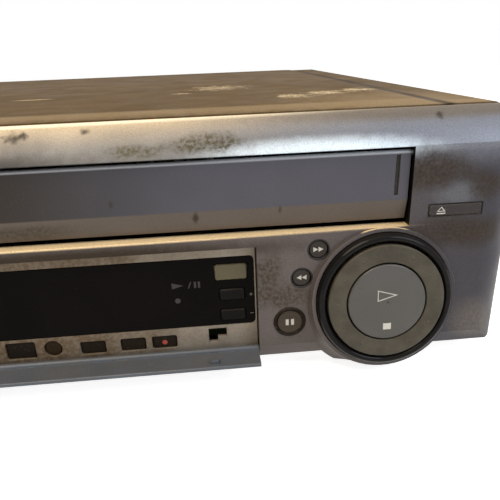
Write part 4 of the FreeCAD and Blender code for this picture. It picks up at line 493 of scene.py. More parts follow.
PANEL_ZONES = (
    Zone(Axis.X, 120.0, 210.0, (0.049, 0.048, 0.06)),
    Zone(Axis.Z, 95.5, 98.5, BAND),
    # painted warm highlight along the top of the band
    Zone(Axis.Z, 102.0, 111.0, (0.38, 0.32, 0.245), 0.9),
    # painted highlight on every up-facing face from the ledge upwards
    Zone(Axis.Z, 64.6, 65.4, LEDGE_HIGHLIGHT, 0.95, upward=True),
)
# painted shade: the side walls inside the panel's openings turn near black behind the face
PANEL_PAINTED_SHADE = (Zone(Axis.Y, 0.05, 0.4, (0.004, 0.0035, 0.0035), inward=True),)
# stains on the panel, with patches of painted highlight and painted shade among them
PANEL_STAINS_AND_LIGHT = (
    # painted cool light over the right of the band
    StainAndLightPatch((225.0, 6.0, 105.0), (165.0, 18.0, 18.0), PAINTED_COOL_LIGHT, 0.95, 0.1),
    # painted shade on the lower left of the band
    StainAndLightPatch((-10.0, 2.0, 99.5), (75.0, 12.0, 5.0), (0.035, 0.034, 0.036), 0.92, 0.2),
    StainAndLightPatch((30.0, 0.0, 61.0), (120.0, 6.0, 6.0), (0.022, 0.013, 0.006), 0.95, 0.15),
    # painted highlight along the ledge's front
    StainAndLightPatch((20.0, 0.0, 66.5), (165.0, 9.0, 1.2), LEDGE_HIGHLIGHT, 1.0, 0.04),
    StainAndLightPatch((-80.0, 6.0, 104.5), (130.0, 14.0, 8.0), (0.12, 0.105, 0.09), 0.95, 0.2),
    # painted bluish highlight along the lower right of the band
    StainAndLightPatch((133.0, 2.0, 98.5), (56.0, 12.0, 6.5), (0.74, 0.87, 1.0), 0.95, 0.12),
    StainAndLightPatch((190.0, 10.0, 111.5), (120.0, 8.0, 6.0), (0.14, 0.12, 0.10), 0.9, 0.1),
    StainAndLightPatch((64.0, 5.0, 101.5), (14.0, 9.0, 3.8), (0.05, 0.042, 0.014), 1.0, 0.45, 120.0, 0.6),
    StainAndLightPatch((90.0, 6.0, 103.0), (23.0, 9.0, 4.8), (0.055, 0.046, 0.02), 0.95, 0.6, 120.0, 0.65),
    # painted highlight along the panel's top edge
    StainAndLightPatch((10.0, 12.0, 112.0), (150.0, 4.0, 1.4), (0.95, 0.86, 0.68), 0.85, 0.1),
    StainAndLightPatch((190.0, 0.0, 79.0), (14.0, 4.0, 7.0), (0.125, 0.13, 0.15), 0.8, 0.25),
    StainAndLightPatch((19.5, 6.0, 108.8), (5.5, 6.0, 2.4), SHADE, 0.95, 0.9, 300.0),
    StainAndLightPatch((45.3, 6.0, 109.4), (2.8, 6.0, 1.5), SHADE, 0.95, 0.6, 300.0),
    StainAndLightPatch((182.6, 6.0, 109.2), (2.4, 5.0, 2.4), SHADE, 0.9, 0.6, 300.0),
    StainAndLightPatch((111.0, 0.0, 46.0), (10.0, 4.0, 16.0), MUD, 0.95, 0.6, 90.0, 0.65),
    StainAndLightPatch((122.0, 0.0, 38.0), (12.0, 4.0, 8.0), MUD, 0.85, 0.6, 90.0, 0.7),
    StainAndLightPatch((180.0, 0.0, 88.0), (20.0, 4.0, 11.0), BROWN, 0.95, 0.6, 70.0, 0.35),
    StainAndLightPatch((201.0, 0.0, 82.0), (12.0, 4.0, 8.0), BROWN, 0.85, 0.6, 70.0, 0.35),
    StainAndLightPatch((192.0, 0.0, 62.5), (31.0, 4.0, 10.0), BROWN, 1.0, 0.5, 60.0, 0.3),
    StainAndLightPatch((204.0, 0.0, 20.0), (16.0, 4.0, 14.0), (0.143, 0.126, 0.115), 0.7, 0.4, 60.0, 0.3),
    StainAndLightPatch((125.0, 0.0, 14.0), (26.0, 5.0, 9.0), (0.09, 0.077, 0.07), 0.6, 0.4, 60.0, 0.3),
)
DOOR_ZONES = (
    Zone(Axis.X, 95.0, -5.0, (0.028, 0.023, 0.018)),
    Zone(Axis.Z, 77.6, 76.8, (0.113, 0.094, 0.081)),
    # painted highlight along the door's rounded top edge
    Zone(Axis.Z, 95.6, 96.4, (0.5, 0.52, 0.57), 0.9),
)
DOOR_STAINS = (
    StainAndLightPatch((10.0, 2.0, 72.0), (40.0, 6.0, 5.0), MUD, 0.8, 0.5, 60.0, 0.4),
    StainAndLightPatch((83.9, 2.0, 74.5), (1.6, 4.0, 3.6), BROWN, 0.9, 0.5, 260.0),
    StainAndLightPatch((117.6, 2.0, 75.9), (1.0, 4.0, 2.6), BROWN, 0.7, 0.5, 260.0),
    StainAndLightPatch((52.0, 2.0, 82.0), (1.2, 4.0, 2.0), BROWN, 0.5, 0.5, 260.0),
)
# stains and scuffs on the cover, with a painted highlight and painted shade among them
COVER_STAINS_AND_LIGHT = (
    StainAndLightPatch((185.0, 25.0, 112.6), (75.0, 60.0, 9.0), (0.24, 0.178, 0.103), 0.7, 0.3),
    # painted light on the front bevel of the cover's raised middle
    StainAndLightPatch((90.0, 21.0, 112.6), (420.0, 9.0, 5.0), (0.30, 0.225, 0.135), 0.7, 0.2),
    # painted shade, with dust, along both side steps of the cover's raised middle
    StainAndLightPatch((188.6, 190.0, 112.0), (4.2, 420.0, 5.0), (0.012, 0.009, 0.006), 1.0, 0.1),
    StainAndLightPatch((-188.6, 190.0, 112.0), (4.2, 420.0, 5.0), (0.012, 0.009, 0.006), 1.0, 0.1),
    StainAndLightPatch((-6.0, 109.0, 112.6), (17.0, 2.4, 3.0), CREAM, 0.9, 0.45, 110.0),
    StainAndLightPatch((78.0, 106.0, 112.6), (8.0, 5.0, 3.0), CREAM, 0.7, 0.8, 160.0, 0.8),
    StainAndLightPatch((100.0, 140.0, 112.6), (22.0, 26.0, 3.0), CREAM, 0.85, 0.8, 160.0, 0.9),
    StainAndLightPatch((134.0, 62.0, 112.6), (12.0, 14.0, 3.0), CREAM, 1.0, 0.8, 160.0, 0.85),
    StainAndLightPatch((153.0, 73.0, 112.6), (15.0, 16.0, 3.0), CREAM, 1.0, 0.8, 160.0, 0.8),
    StainAndLightPatch((171.0, 83.0, 112.6), (13.0, 12.0, 3.0), CREAM, 1.0, 0.8, 160.0, 0.7),
)

FASCIA_STAINS = (
    StainAndLightPatch((0.0, 12.0, 35.0), (115.0, 40.0, 80.0), (0.11, 0.065, 0.026), 0.88, 0.3, 60.0, 0.3),
)

LAMINATE = Finish("board_laminate", (0.10, 0.16, 0.05), (0.13, 0.19, 0.07), (0.3, 0.5), grain=0.1,
                  speckle=0.2, settle=0.25)
DARK_DUST = (0.12, 0.095, 0.07)
KEY_DUST = (0.13, 0.10, 0.07)
WINDOW_DUST = (0.09, 0.07, 0.05)
CHIP_BLACK = (0.012, 0.012, 0.012)
CASE_GREY = (0.09, 0.088, 0.085)

FINISHES = {finish.name: finish for finish in (
    Finish("cover_paint", (0.066, 0.042, 0.018), (0.092, 0.060, 0.028), (0.58, 0.75), specular=0.1,
           tone_scale=24.0, grain_scale=2600.0, grain=0.25, dust=(0.21, 0.15, 0.085), speckle=0.35,
           settle=0.25, wear=(0.45, 0.40, 0.30), flake=0.16, stains_and_light=COVER_STAINS_AND_LIGHT),
    Finish("panel_plastic", (0.12, 0.103, 0.102), (0.109, 0.093, 0.09), (0.36, 0.52), metallic=0.2,
           grain=0.1, settle=0.0, speckle=0.2, dust=DARK_DUST, wear=(0.45, 0.39, 0.30),
           wear_share=0.5, flake=0.14, zones=PANEL_ZONES, stains_and_light=PANEL_STAINS_AND_LIGHT, painted_shade=PANEL_PAINTED_SHADE),
    Finish("door_paint", (0.089, 0.09, 0.112), (0.08, 0.081, 0.101), (0.36, 0.52), metallic=0.25,
           grain=0.1, settle=0.0, speckle=0.2, dust=(0.10, 0.085, 0.07), wear=(0.5, 0.47, 0.42),
           wear_share=0.4, flake=0.08, zones=DOOR_ZONES, stains_and_light=DOOR_STAINS),
    Finish("flap_paint", (0.104, 0.124, 0.155), (0.092, 0.106, 0.125), (0.35, 0.5), metallic=0.25,
           dust=(0.2, 0.16, 0.12), settle=0.2, flake=0.15),
    Finish("eject_paint", (0.0335, 0.029, 0.03), (0.042, 0.037, 0.038), (0.35, 0.5), metallic=0.1,
           wear=(0.3, 0.3, 0.3), settle=0.1),
    Finish("fascia_plastic", (0.31, 0.28, 0.235), (0.38, 0.34, 0.29), (0.4, 0.6), metallic=0.1,
           tone_scale=60.0, speckle=0.35, flake=0.12, stains_and_light=FASCIA_STAINS),
    Finish("dark_plastic", (0.016, 0.015, 0.014), (0.026, 0.023, 0.02), (0.35, 0.55), specular=0.2,
           dust=DARK_DUST, settle=0.2, wear=(0.09, 0.08, 0.07)),
    Finish("row_key", (0.013, 0.0095, 0.0065), (0.02, 0.0145, 0.0095), (0.4, 0.6), specular=0.08,
           speckle=0.3, dust=KEY_DUST, settle=0.2, wear=(0.1, 0.085, 0.065)),
    Finish("counter_key", (0.024, 0.015, 0.007), (0.032, 0.021, 0.010), (0.4, 0.6), specular=0.1,
           speckle=0.3, dust=(0.16, 0.12, 0.08), settle=0.2),
    Finish("wind_key", (0.032, 0.026, 0.023), (0.042, 0.034, 0.030), (0.35, 0.5), specular=0.2,
           speckle=0.3, dust=KEY_DUST, settle=0.2, wear=(0.1, 0.085, 0.065)),
    Finish("pause_key", (0.048, 0.037, 0.026), (0.059, 0.046, 0.033), (0.4, 0.6), specular=0.2,
           speckle=0.3, dust=KEY_DUST, settle=0.2, wear=(0.12, 0.10, 0.075)),
    Finish("gloss_black", (0.005, 0.005, 0.006), (0.008, 0.0075, 0.0075), (0.05, 0.12), specular=0.1,
           grain=0.02, speckle=0.1, settle=0.08, dust=DARK_DUST, wear_share=0.0),
    Finish("dial_plastic", (0.055, 0.049, 0.037), (0.082, 0.074, 0.056), (0.34, 0.5), metallic=0.1,
           tone_scale=130.0, speckle=0.3, dust=(0.14, 0.105, 0.065), flake=0.1),
    Finish("rocker_plastic", (0.089, 0.089, 0.084), (0.100, 0.099, 0.098), (0.26, 0.4), metallic=0.15,
           tone_scale=40.0, grain=0.08, speckle=0.2, dust=(0.15, 0.12, 0.085), settle=0.1),
    Finish("lit_key", (0.112, 0.098, 0.056), (0.136, 0.118, 0.071), (0.25, 0.4), grain=0.05,
           speckle=0.15, wear=(0.6, 0.56, 0.4), wear_share=0.6),
    Finish("window_glass", (0.003, 0.0024, 0.0024), (0.005, 0.004, 0.004), (0.08, 0.25), specular=0.03,
           grain=0.02, speckle=0.06, settle=0.05, dust=WINDOW_DUST, wear_share=0.0),
    Finish("window_key", (0.005, 0.0045, 0.0045), (0.008, 0.007, 0.007), (0.2, 0.4), specular=0.06,
           speckle=0.1, dust=WINDOW_DUST, wear=(0.14, 0.13, 0.115), wear_share=0.6),
    Finish("plain_steel", (0.30, 0.295, 0.275), (0.37, 0.36, 0.34), (0.28, 0.45), metallic=0.95,
           stretch=(1.0, 0.05, 1.0), grain=0.15, speckle=0.12, settle=0.2),
    Finish("machined_alloy", (0.6, 0.6, 0.61), (0.68, 0.68, 0.69), (0.18, 0.3), metallic=1.0,
           grain=0.06, speckle=0.05, settle=0.1),
    Finish("bright_steel", (0.5, 0.5, 0.5), (0.58, 0.58, 0.57), (0.12, 0.25), metallic=1.0, grain=0.05,
           speckle=0.08, settle=0.1),
    LAMINATE,
    replace(LAMINATE, name="main_laminate", zones=(Zone(Axis.Z, 14.65, 14.9, CHIP_BLACK),)),
    replace(LAMINATE, name="power_laminate", zones=(Zone(Axis.Z, 14.65, 14.9, CASE_GREY),)),
    replace(LAMINATE, name="front_laminate", zones=(Zone(Axis.Y, 15.95, 15.7, CHIP_BLACK),)),
    Finish("foot_rubber", (0.02, 0.02, 0.02), (0.03, 0.03, 0.03), (0.7, 0.85), grain=0.3, speckle=0.3,
           settle=0.2),
    Finish("print_white", (0.62, 0.62, 0.58), (0.7, 0.7, 0.66), (0.5, 0.6), speckle=0.1, settle=0.1,
           wear_share=0.0),
    Finish("print_grey", (0.032, 0.03, 0.032), (0.044, 0.042, 0.044), (0.5, 0.6), wear_share=0.0),
    Finish("print_pale", (0.2, 0.2, 0.2), (0.24, 0.24, 0.24), (0.5, 0.6), wear_share=0.0),
    Finish("print_red", (0.42, 0.06, 0.06), (0.5, 0.09, 0.08), (0.4, 0.5), wear_share=0.0),
    Finish("print_yellow", (0.5, 0.36, 0.05), (0.56, 0.42, 0.08), (0.4, 0.5), wear_share=0.0),
    Finish("print_black", (0.006, 0.006, 0.006), (0.010, 0.009, 0.008), (0.35, 0.5), specular=0.3,
           wear_share=0.0),
)}

OWN_FINISH = {
    "main_board": "main_laminate",
    "power_board": "power_laminate",
    "front_board": "front_laminate",
    "front_flap": "flap_paint",
    "pause_button": "pause_key",
    "counter_button": "counter_key",
    **dict.fromkeys(("wide_door", "small_door"), "door_paint"),
    **dict.fromkeys(("wide_eject_button", "small_eject_button", "power_button"), "eject_paint"),
    **dict.fromkeys(("forward_button", "rewind_button"), "wind_key"),
    **dict.fromkeys(("channel_up_button", "channel_down_button"), "window_key"),
    **dict.fromkeys(("index_button", "timer_button", "input_button", "speed_button", "record_button"),
                    "row_key"),
}


class Palette:
    """Materials by name, each made once."""

    def __init__(self) -> None:
        """Make every material."""
        self.made = {name: finish.material() for name, finish in FINISHES.items()}

    def piece(self, shape: Shape, name: str, finish: str, smooth: bool) -> bpy.types.Object:
        """Make a shape's piece in one finish."""
        made = shape.object(name, smooth)
        self.put(made, finish)
        LOG.info("made %s in %s", name, finish)
        return made

    def put(self, piece: bpy.types.Object, name: str) -> None:
        """Give a piece the material of one finish only."""
        piece.data.materials.clear()
        piece.data.materials.append(self.made[name])


class CadSkin:
    """Finish and smooth shading of the construction model's own nodes."""

    SMOOTH_ANGLE = math.radians(24.0)
    WELD_REACH = 0.002 * MM

    def __init__(self, palette: Palette) -> None:
        """Keep the materials and prepare the shading group."""
        self.palette = palette
        self.group = self.shading_group()

    def shading_group(self) -> bpy.types.NodeTree:
        """Node group that shades a mesh smooth apart from its sharp edges."""
        group = bpy.data.node_groups.new("smooth_by_angle", "GeometryNodeTree")
        group.interface.new_socket("Geometry", in_out="INPUT", socket_type="NodeSocketGeometry")
        group.interface.new_socket("Geometry", in_out="OUTPUT", socket_type="NodeSocketGeometry")
        start, end = group.nodes.new("NodeGroupInput"), group.nodes.new("NodeGroupOutput")
        faces, edges = (group.nodes.new("GeometryNodeSetShadeSmooth") for _ in range(2))
        edges.domain = "EDGE"
        edges.inputs["Shade Smooth"].default_value = False
        angle = group.nodes.new("GeometryNodeInputMeshEdgeAngle")
        sharp = group.nodes.new("FunctionNodeCompare")
        sharp.inputs[1].default_value = self.SMOOTH_ANGLE
        group.links.new(angle.outputs[0], sharp.inputs[0])
        group.links.new(start.outputs[0], faces.inputs[0])
        group.links.new(faces.outputs[0], edges.inputs[0])
        group.links.new(sharp.outputs[0], edges.inputs["Selection"])
        group.links.new(edges.outputs[0], end.inputs[0])
        return group

    def dress(self) -> None:
        """Give every node its own finish or that of its slot, and smooth shading."""
        for part in frame["record"]["subparts"]:
            node = frame["nodes"][part["node"]]
            finish = OWN_FINISH.get(part["node"], part["material_slot"])
            self.palette.put(node, finish)
            weld = node.modifiers.new("weld", "WELD")
            weld.merge_threshold = self.WELD_REACH
            shade = node.modifiers.new("shade", "NODES")
            shade.node_group = self.group
            LOG.info("dressed %s in %s", part["node"], finish)


# Printed signs

@dataclass
class Sign:
    """Printed sign on a seat, made of thin plates and outlines."""
    name: str
    seat: Seat
    body: str
    finish: str = "print_white"
    lift: float = 0.005
    thickness: float = 0.04
    shape: Shape = field(default_factory=Shape)

    def plate(self, outline: np.ndarray) -> None:
        """Add a thin filled plate, whose corners run anticlockwise as (right, up)."""
        count = len(outline)
        low = np.column_stack([outline, np.full(count, self.lift)])
        high = np.column_stack([outline, np.full(count, self.thickness)])
        self.shape.add_grid(self.seat.lay(np.stack([low, high], axis=1)), False)
        self.shape.add(self.seat.lay(high), np.arange(count)[None, :])
        self.shape.add(self.seat.lay(low), np.arange(count)[None, ::-1])

    def line(self, outline: np.ndarray, width: float) -> None:
        """Add an outline of some width, a closed band along the corners.

        The inner edge is the outline drawn towards its middle until the band has the width at its sides.

        Args:
            outline: corners in turn, as (right, up) in millimetres, anticlockwise.
            width: width of the drawn line.
        """
        ahead = np.roll(outline, -1, axis=0) - outline
        ahead = ahead / np.linalg.norm(ahead, axis=1, keepdims=True)
        inward = np.stack([-ahead[:, 1], ahead[:, 0]], axis=-1)
        before = np.roll(inward, 1, axis=0)
        inner = outline + width * (inward + before) / (1 + np.sum(inward * before, axis=1, keepdims=True))
        section = [(outline, self.lift), (outline, self.thickness),
                   (inner, self.thickness), (inner, self.lift)]
        rings = [np.column_stack([edge, np.full(len(edge), level)]) for edge, level in section]
        self.shape.add_grid(self.seat.lay(np.stack(rings, axis=1)))

    def finished(self, palette: Palette) -> None:
        """Make the sign's piece, riding on its body."""
        piece = palette.piece(self.shape, self.name, self.finish, False)
        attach(piece, self.body)


def rectangle(right: float, up: float, width: float, height: float) -> np.ndarray:
    """Corners of a rectangle about a middle, anticlockwise."""
    half, tall = width / 2, height / 2
    return np.array([(right - half, up - tall), (right + half, up - tall), (right + half, up + tall),
                     (right - half, up + tall)])


def arrow(right: float, up: float, length: float, height: float, way: Way) -> np.ndarray:
    """Corners of a triangle about a middle that points one way, anticlockwise."""
    half, tall = length / 2 * way.value, height / 2
    corners = np.array([(right - half, up - tall), (right + half, up), (right - half, up + tall)])
    return corners if way is Way.RIGHT else corners[::-1]


def disc(right: float, up: float, radius: float, steps: int = 32) -> np.ndarray:
    """Corners of a many-sided disc about a middle, anticlockwise."""
    return rounded((right, up), radius, 0.0, 360.0 * (steps - 1) / steps, steps)


@dataclass
class KeySigns:
    """Signs on and beside the push keys, at places in millimetres from the panel's face."""
    palette: Palette
    forward: tuple[float, float] = (DIAL_X - 27.4, DIAL_Z + 23.1)
    rewind: tuple[float, float] = (DIAL_X - 34.4, DIAL_Z + 10.9)
    pause_x: float = DIAL_X - 39.6
    pause_z: float = DIAL_Z - 9.5
    eject_x: tuple[float, float] = (189.2, -187.7)
    eject_z: float = 72.3
    eject_sign: float = -6.1
    joint_radius: float = 4.75
    joint_width: float = 0.6
    eject_joint: tuple[float, float, float] = (23.2, 5.8, 0.35)
    stroke: float = 0.35
    window_front: float = 5.0

    def wind(self, name: str, place: tuple[float, float], way: Way) -> None:
        """Print two arrows on a winding key, whose place is its x and its height."""
        key_front, half_pitch, length, height = 0.5, 1.1, 2.1, 2.2
        sign = Sign(name + "_sign", Seat((place[0], key_front, place[1])), name)
        for shift in (-half_pitch, half_pitch):
            sign.plate(arrow(shift, 0.0, length, height, way))
        sign.finished(self.palette)

    def pause(self) -> None:
        """Print two bars on the pause key."""
        key_front, half_pitch, width, height = -0.4, 1.15, 1.3, 2.9
        sign = Sign("pause_sign", Seat((self.pause_x, key_front, self.pause_z)), "pause_button")
        for shift in (-half_pitch, half_pitch):
            sign.plate(rectangle(shift, 0.0, width, height))
        sign.finished(self.palette)

    def eject(self, name: str, x: float) -> None:
        """Print an outlined triangle over a bar on an eject key, whose middle is at x."""
        key_front, half, low, high = -0.3, 1.85, -0.55, 1.6
        sign = Sign(name + "_sign", Seat((x + self.eject_sign, key_front, self.eject_z)), name)
        sign.line(np.array([(-half, low), (half, low), (0.0, high)]), self.stroke)
        sign.plate(rectangle(0.0, -1.3, 2 * half, 0.55))
        sign.finished(self.palette)

    def joints(self) -> None:
        """Draw the dark joints round the panel's keys."""
        joints = Sign("key_joints", Seat((0.0, 0.0, 0.0)), HOUSING, "print_black")
        for x, z in (self.forward, self.rewind):
            joints.line(disc(x, z, self.joint_radius), self.joint_width)
        width, height, line = self.eject_joint
        for x in self.eject_x:
            joints.line(rectangle(x, self.eject_z, width, height), line)
        joints.finished(self.palette)

    def rim(self) -> None:
        """Make the raised dark rim of the pause key: a half-round on a flat foot."""
        inner, outer, foot, steps = 5.85, 7.0, 0.02, 64
        crest = rounded((6.42, 0.25), 0.55, 0.0, 180.0, 9)
        section = np.concatenate([[(inner, foot), (outer, foot)], crest])
        rim = Shape()
        rim.add_turned(Seat((self.pause_x, 0.0, self.pause_z)), section, steps)
        piece = self.palette.piece(rim, "pause_rim", "row_key", True)
        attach(piece, HOUSING)

    def power(self) -> None:
        """Print a ring and a bar on the power key."""
        sign = Sign("power_sign", Seat((-165.0, -0.6, 40.0)), "power_button")
        half_pitch, radius, bar, height = 1.8, 1.5, 0.4, 3.0
        sign.line(disc(-half_pitch, 0.0, radius), 0.3)
        sign.plate(rectangle(half_pitch, 0.0, bar, height))
        sign.finished(self.palette)

    def window(self) -> None:
        """Print the faint signs on the window, and plus and minus beside the channel keys."""
        long, short, arm = 1.5, 0.5, 0.45
        plus = Sign("channel_sign", Seat((104.9, self.window_front, 38.0)), HOUSING, "print_pale")
        plus.plate(rectangle(0.0, 0.0, long, self.stroke))
        plus.plate(rectangle(0.0, arm, self.stroke, short))
        plus.plate(rectangle(0.0, -arm, self.stroke, short))
        plus.plate(rectangle(0.1, -9.1, long, self.stroke))
        plus.finished(self.palette)
        half, bar = 1.5, 1.0
        faint = Sign("window_sign", Seat((77.5, self.window_front, 44.2)), HOUSING, "print_grey")
        faint.plate(arrow(-3.5, 0.0, 5.0, 2.8, Way.RIGHT))
        faint.plate(np.array([(0.6, -half), (1.2, -half), (2.4, half), (1.8, half)]))
        for x in (3.8, 5.5):
            faint.plate(rectangle(x, 0.0, bar, 2 * half))
        faint.plate(disc(-4.0, -7.0, 1.2))
        faint.finished(self.palette)

    def record(self) -> None:
        """Print the red dot on the record key."""
        sign = Sign("record_sign", Seat((66.0, 5.6, 17.4)), "record_button", "print_red")
        sign.plate(disc(0.0, -0.4, 1.15))
        sign.finished(self.palette)

    def build(self) -> None:
        """Print every sign."""
        self.wind("forward_button", self.forward, Way.RIGHT)
        self.wind("rewind_button", self.rewind, Way.LEFT)
        self.pause()
        self.joints()
        self.rim()
        for name, x in zip(("wide_eject_button", "small_eject_button"), self.eject_x):
            self.eject(name, x)
        self.power()
        self.window()
        self.record()


@dataclass
class Dial:
    """Shuttle dial: glossy bezel, turning ring and rocking button, in millimetres above its seat."""
    palette: Palette
    seat: Seat = Seat((DIAL_X, 0.0, DIAL_Z), 6.3)
    bore_radius: float = 29.0
    ring_radius: float = 24.6
    rocker_hole: float = 17.0
    rocker_radius: float = 16.4
    pin_radius: float = 0.3
    clearance: float = 0.3
    ring_proud: float = 8.0
    ring_low: float = -4.7
    ring_rounds: tuple[float, float] = (0.7, 0.5)
    rocker_proud: float = 8.8
    rocker_thick: float = 3.3
    rocker_round: float = 0.8
    rocker_fall: float = 0.5
    bezel_proud: float = 7.6
    bezel_wall: float = 4.2
    bezel_floor: float = -5.0
    bezel_low: float = -7.0
    hub_drop: float = 4.6
    hub_gap: float = 0.1
    crest_steps: int = 25
    face_steps: int = 14
    bumps: int = 12
    bump_sides: int = 14
    bump_rows: int = 5
    bump_climb: float = 0.48 * math.pi
    bump_radius: float = 0.5
    bump_rise: float = 0.35
    bump_sunk: float = 0.05
    steps: int = 160

    def turned(self, profile: np.ndarray) -> Shape:
        """Turn a closed profile about the dial's axis."""
        shape = Shape()
        shape.add_turned(self.seat, profile, self.steps)
        return shape

    def bezel(self) -> None:
        """Make the bezel: a half-round crest between two walls, on a plate with a hub."""
        inner, outer = self.ring_radius + self.clearance, self.bore_radius
        half = (outer - inner) / 2
        angle = np.linspace(0.0, math.pi, self.crest_steps)
        rise = self.bezel_proud - self.bezel_wall
        crest = np.stack([inner + half + half * np.cos(angle),
                          self.bezel_wall + rise * np.sin(angle)], axis=-1)
        hub, hub_top = self.rocker_hole - self.hub_gap, self.rocker_proud - self.hub_drop
        plate = [(self.pin_radius, self.bezel_low), (outer, self.bezel_low)]
        well = [(inner, self.bezel_floor), (hub, self.bezel_floor),
                (hub, hub_top), (self.pin_radius, hub_top)]
        shape = self.turned(np.concatenate([plate, crest, well]))
        piece = self.palette.piece(shape, "bezel", "gloss_black", True)
        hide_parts("dial_bezel")
        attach(piece, HOUSING)

    def bump(self) -> np.ndarray:
        """Small dome on the ring's face.

        The first parameter runs round the dome and the second climbs it: the radius falls with the
        cosine of the climb and the height grows with its sine.

        Returns:
            Array of shape (round, climb, 3) about the dial's axis.
        """
        around = np.linspace(0.0, FULL_TURN, self.bump_sides, endpoint=False)[:, None]
        climb = np.linspace(0.0, self.bump_climb, self.bump_rows)[None, :]
        radius = self.bump_radius * np.cos(climb)
        height = self.ring_proud - self.bump_sunk + self.bump_rise * np.sin(climb)
        height = np.broadcast_to(height, (around.size, climb.size))
        return np.stack([radius * np.cos(around), radius * np.sin(around), height], axis=-1)

    def ring(self) -> None:
        """Make the turning ring: a softly rounded face with a round of small bumps."""
        inner, outer, proud = self.rocker_hole, self.ring_radius, self.ring_proud
        wide, small = self.ring_rounds
        foot = [(inner, self.ring_low), (outer, self.ring_low)]
        outside = rounded((outer - wide, proud - wide), wide, 0.0, 90.0, ROUND_STEPS)
        inside = rounded((inner + small, proud - small), small, 90.0, 180.0, ROUND_STEPS)
        shape = self.turned(np.concatenate([foot, outside, inside]))
        middle = (inner + outer) / 2
        for angle in np.linspace(0.0, FULL_TURN, self.bumps, endpoint=False):
            place = np.array([middle * math.cos(angle), middle * math.sin(angle), 0.0])
            shape.add_grid(self.seat.lay(self.bump() + place), False)
        piece = self.palette.piece(shape, "ring", "dial_plastic", True)
        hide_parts("shuttle_ring")
        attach(piece, "shuttle_ring")

    def crown(self, radius: np.ndarray) -> np.ndarray:
        """Height of the rocker's face, which falls from its middle as the square of the radius."""
        return self.rocker_proud - self.rocker_fall * (radius / self.rocker_radius) ** 2

    def rocker(self) -> None:
        """Make the rocking button: a crowned face with a rounded edge."""
        radius, soft = self.rocker_radius, self.rocker_round
        across = np.linspace(self.pin_radius, radius - soft, self.face_steps)
        face = np.stack([across, self.crown(across)], axis=-1)
        top = float(self.crown(np.array(radius - soft)))
        edge = rounded((radius - soft, top - soft), soft, 90.0, 0.0, ROUND_STEPS)[1:]
        low = self.rocker_proud - self.rocker_thick
        profile = np.concatenate([face, edge, [(radius, low), (self.pin_radius, low)]])[::-1]
        piece = self.palette.piece(self.turned(profile), "rocker", "rocker_plastic", True)
        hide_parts("play_stop_button")
        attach(piece, "play_stop_button")

    def sign(self, name: str, reach: float) -> Sign:
        """Start a sign that lies on the rocker's face at some reach from its middle."""
        lean = math.radians(self.seat.tilt)
        height = float(self.crown(np.array(reach)))
        x, _, z = self.seat.origin
        origin = (x, -height * math.cos(lean), z + height * math.sin(lean))
        return Sign(name, Seat(origin, self.seat.tilt), "play_stop_button")

    def signs(self) -> None:
        """Print the outlined play triangle and the stop square on the rocker."""
        play_up, stop_down, square = 3.2, 10.3, 3.4
        play = self.sign("play_sign", play_up)
        play.line(arrow(0.0, play_up, 8.6, 5.0, Way.RIGHT), 0.4)
        play.finished(self.palette)
        stop = self.sign("stop_sign", stop_down)
        stop.plate(rectangle(0.0, -stop_down, square, square))
        stop.finished(self.palette)

    def build(self) -> None:
        """Make all pieces of the dial."""
        self.bezel()
        self.ring()
        self.rocker()
        self.signs()


@dataclass
class DoorGrooveShade:
    """Dark plates on the floors of the grooves near the ends of both cassette doors, painting the shade
    in the grooves.
    """
    palette: Palette
    groove_floor: float = 2.6
    middle: float = 87.3
    width: float = 1.7
    height: float = 16.6
    doors: tuple[tuple[str, tuple[float, float]], ...] = (
        ("wide_door", (164.6, -30.8)), ("small_door", (-163.1, -64.7)))

    def build(self) -> None:
        """Make the painted groove shade of both doors."""
        seat = Seat((0.0, self.groove_floor, self.middle))
        for door, places in self.doors:
            # a dark plate on the groove's floor paints the shade in the groove
            groove_shade = Sign(door + "_grip", seat, door, "dark_plastic")
            for x in places:
                groove_shade.plate(rectangle(x, 0.0, self.width, self.height))
            groove_shade.finished(self.palette)


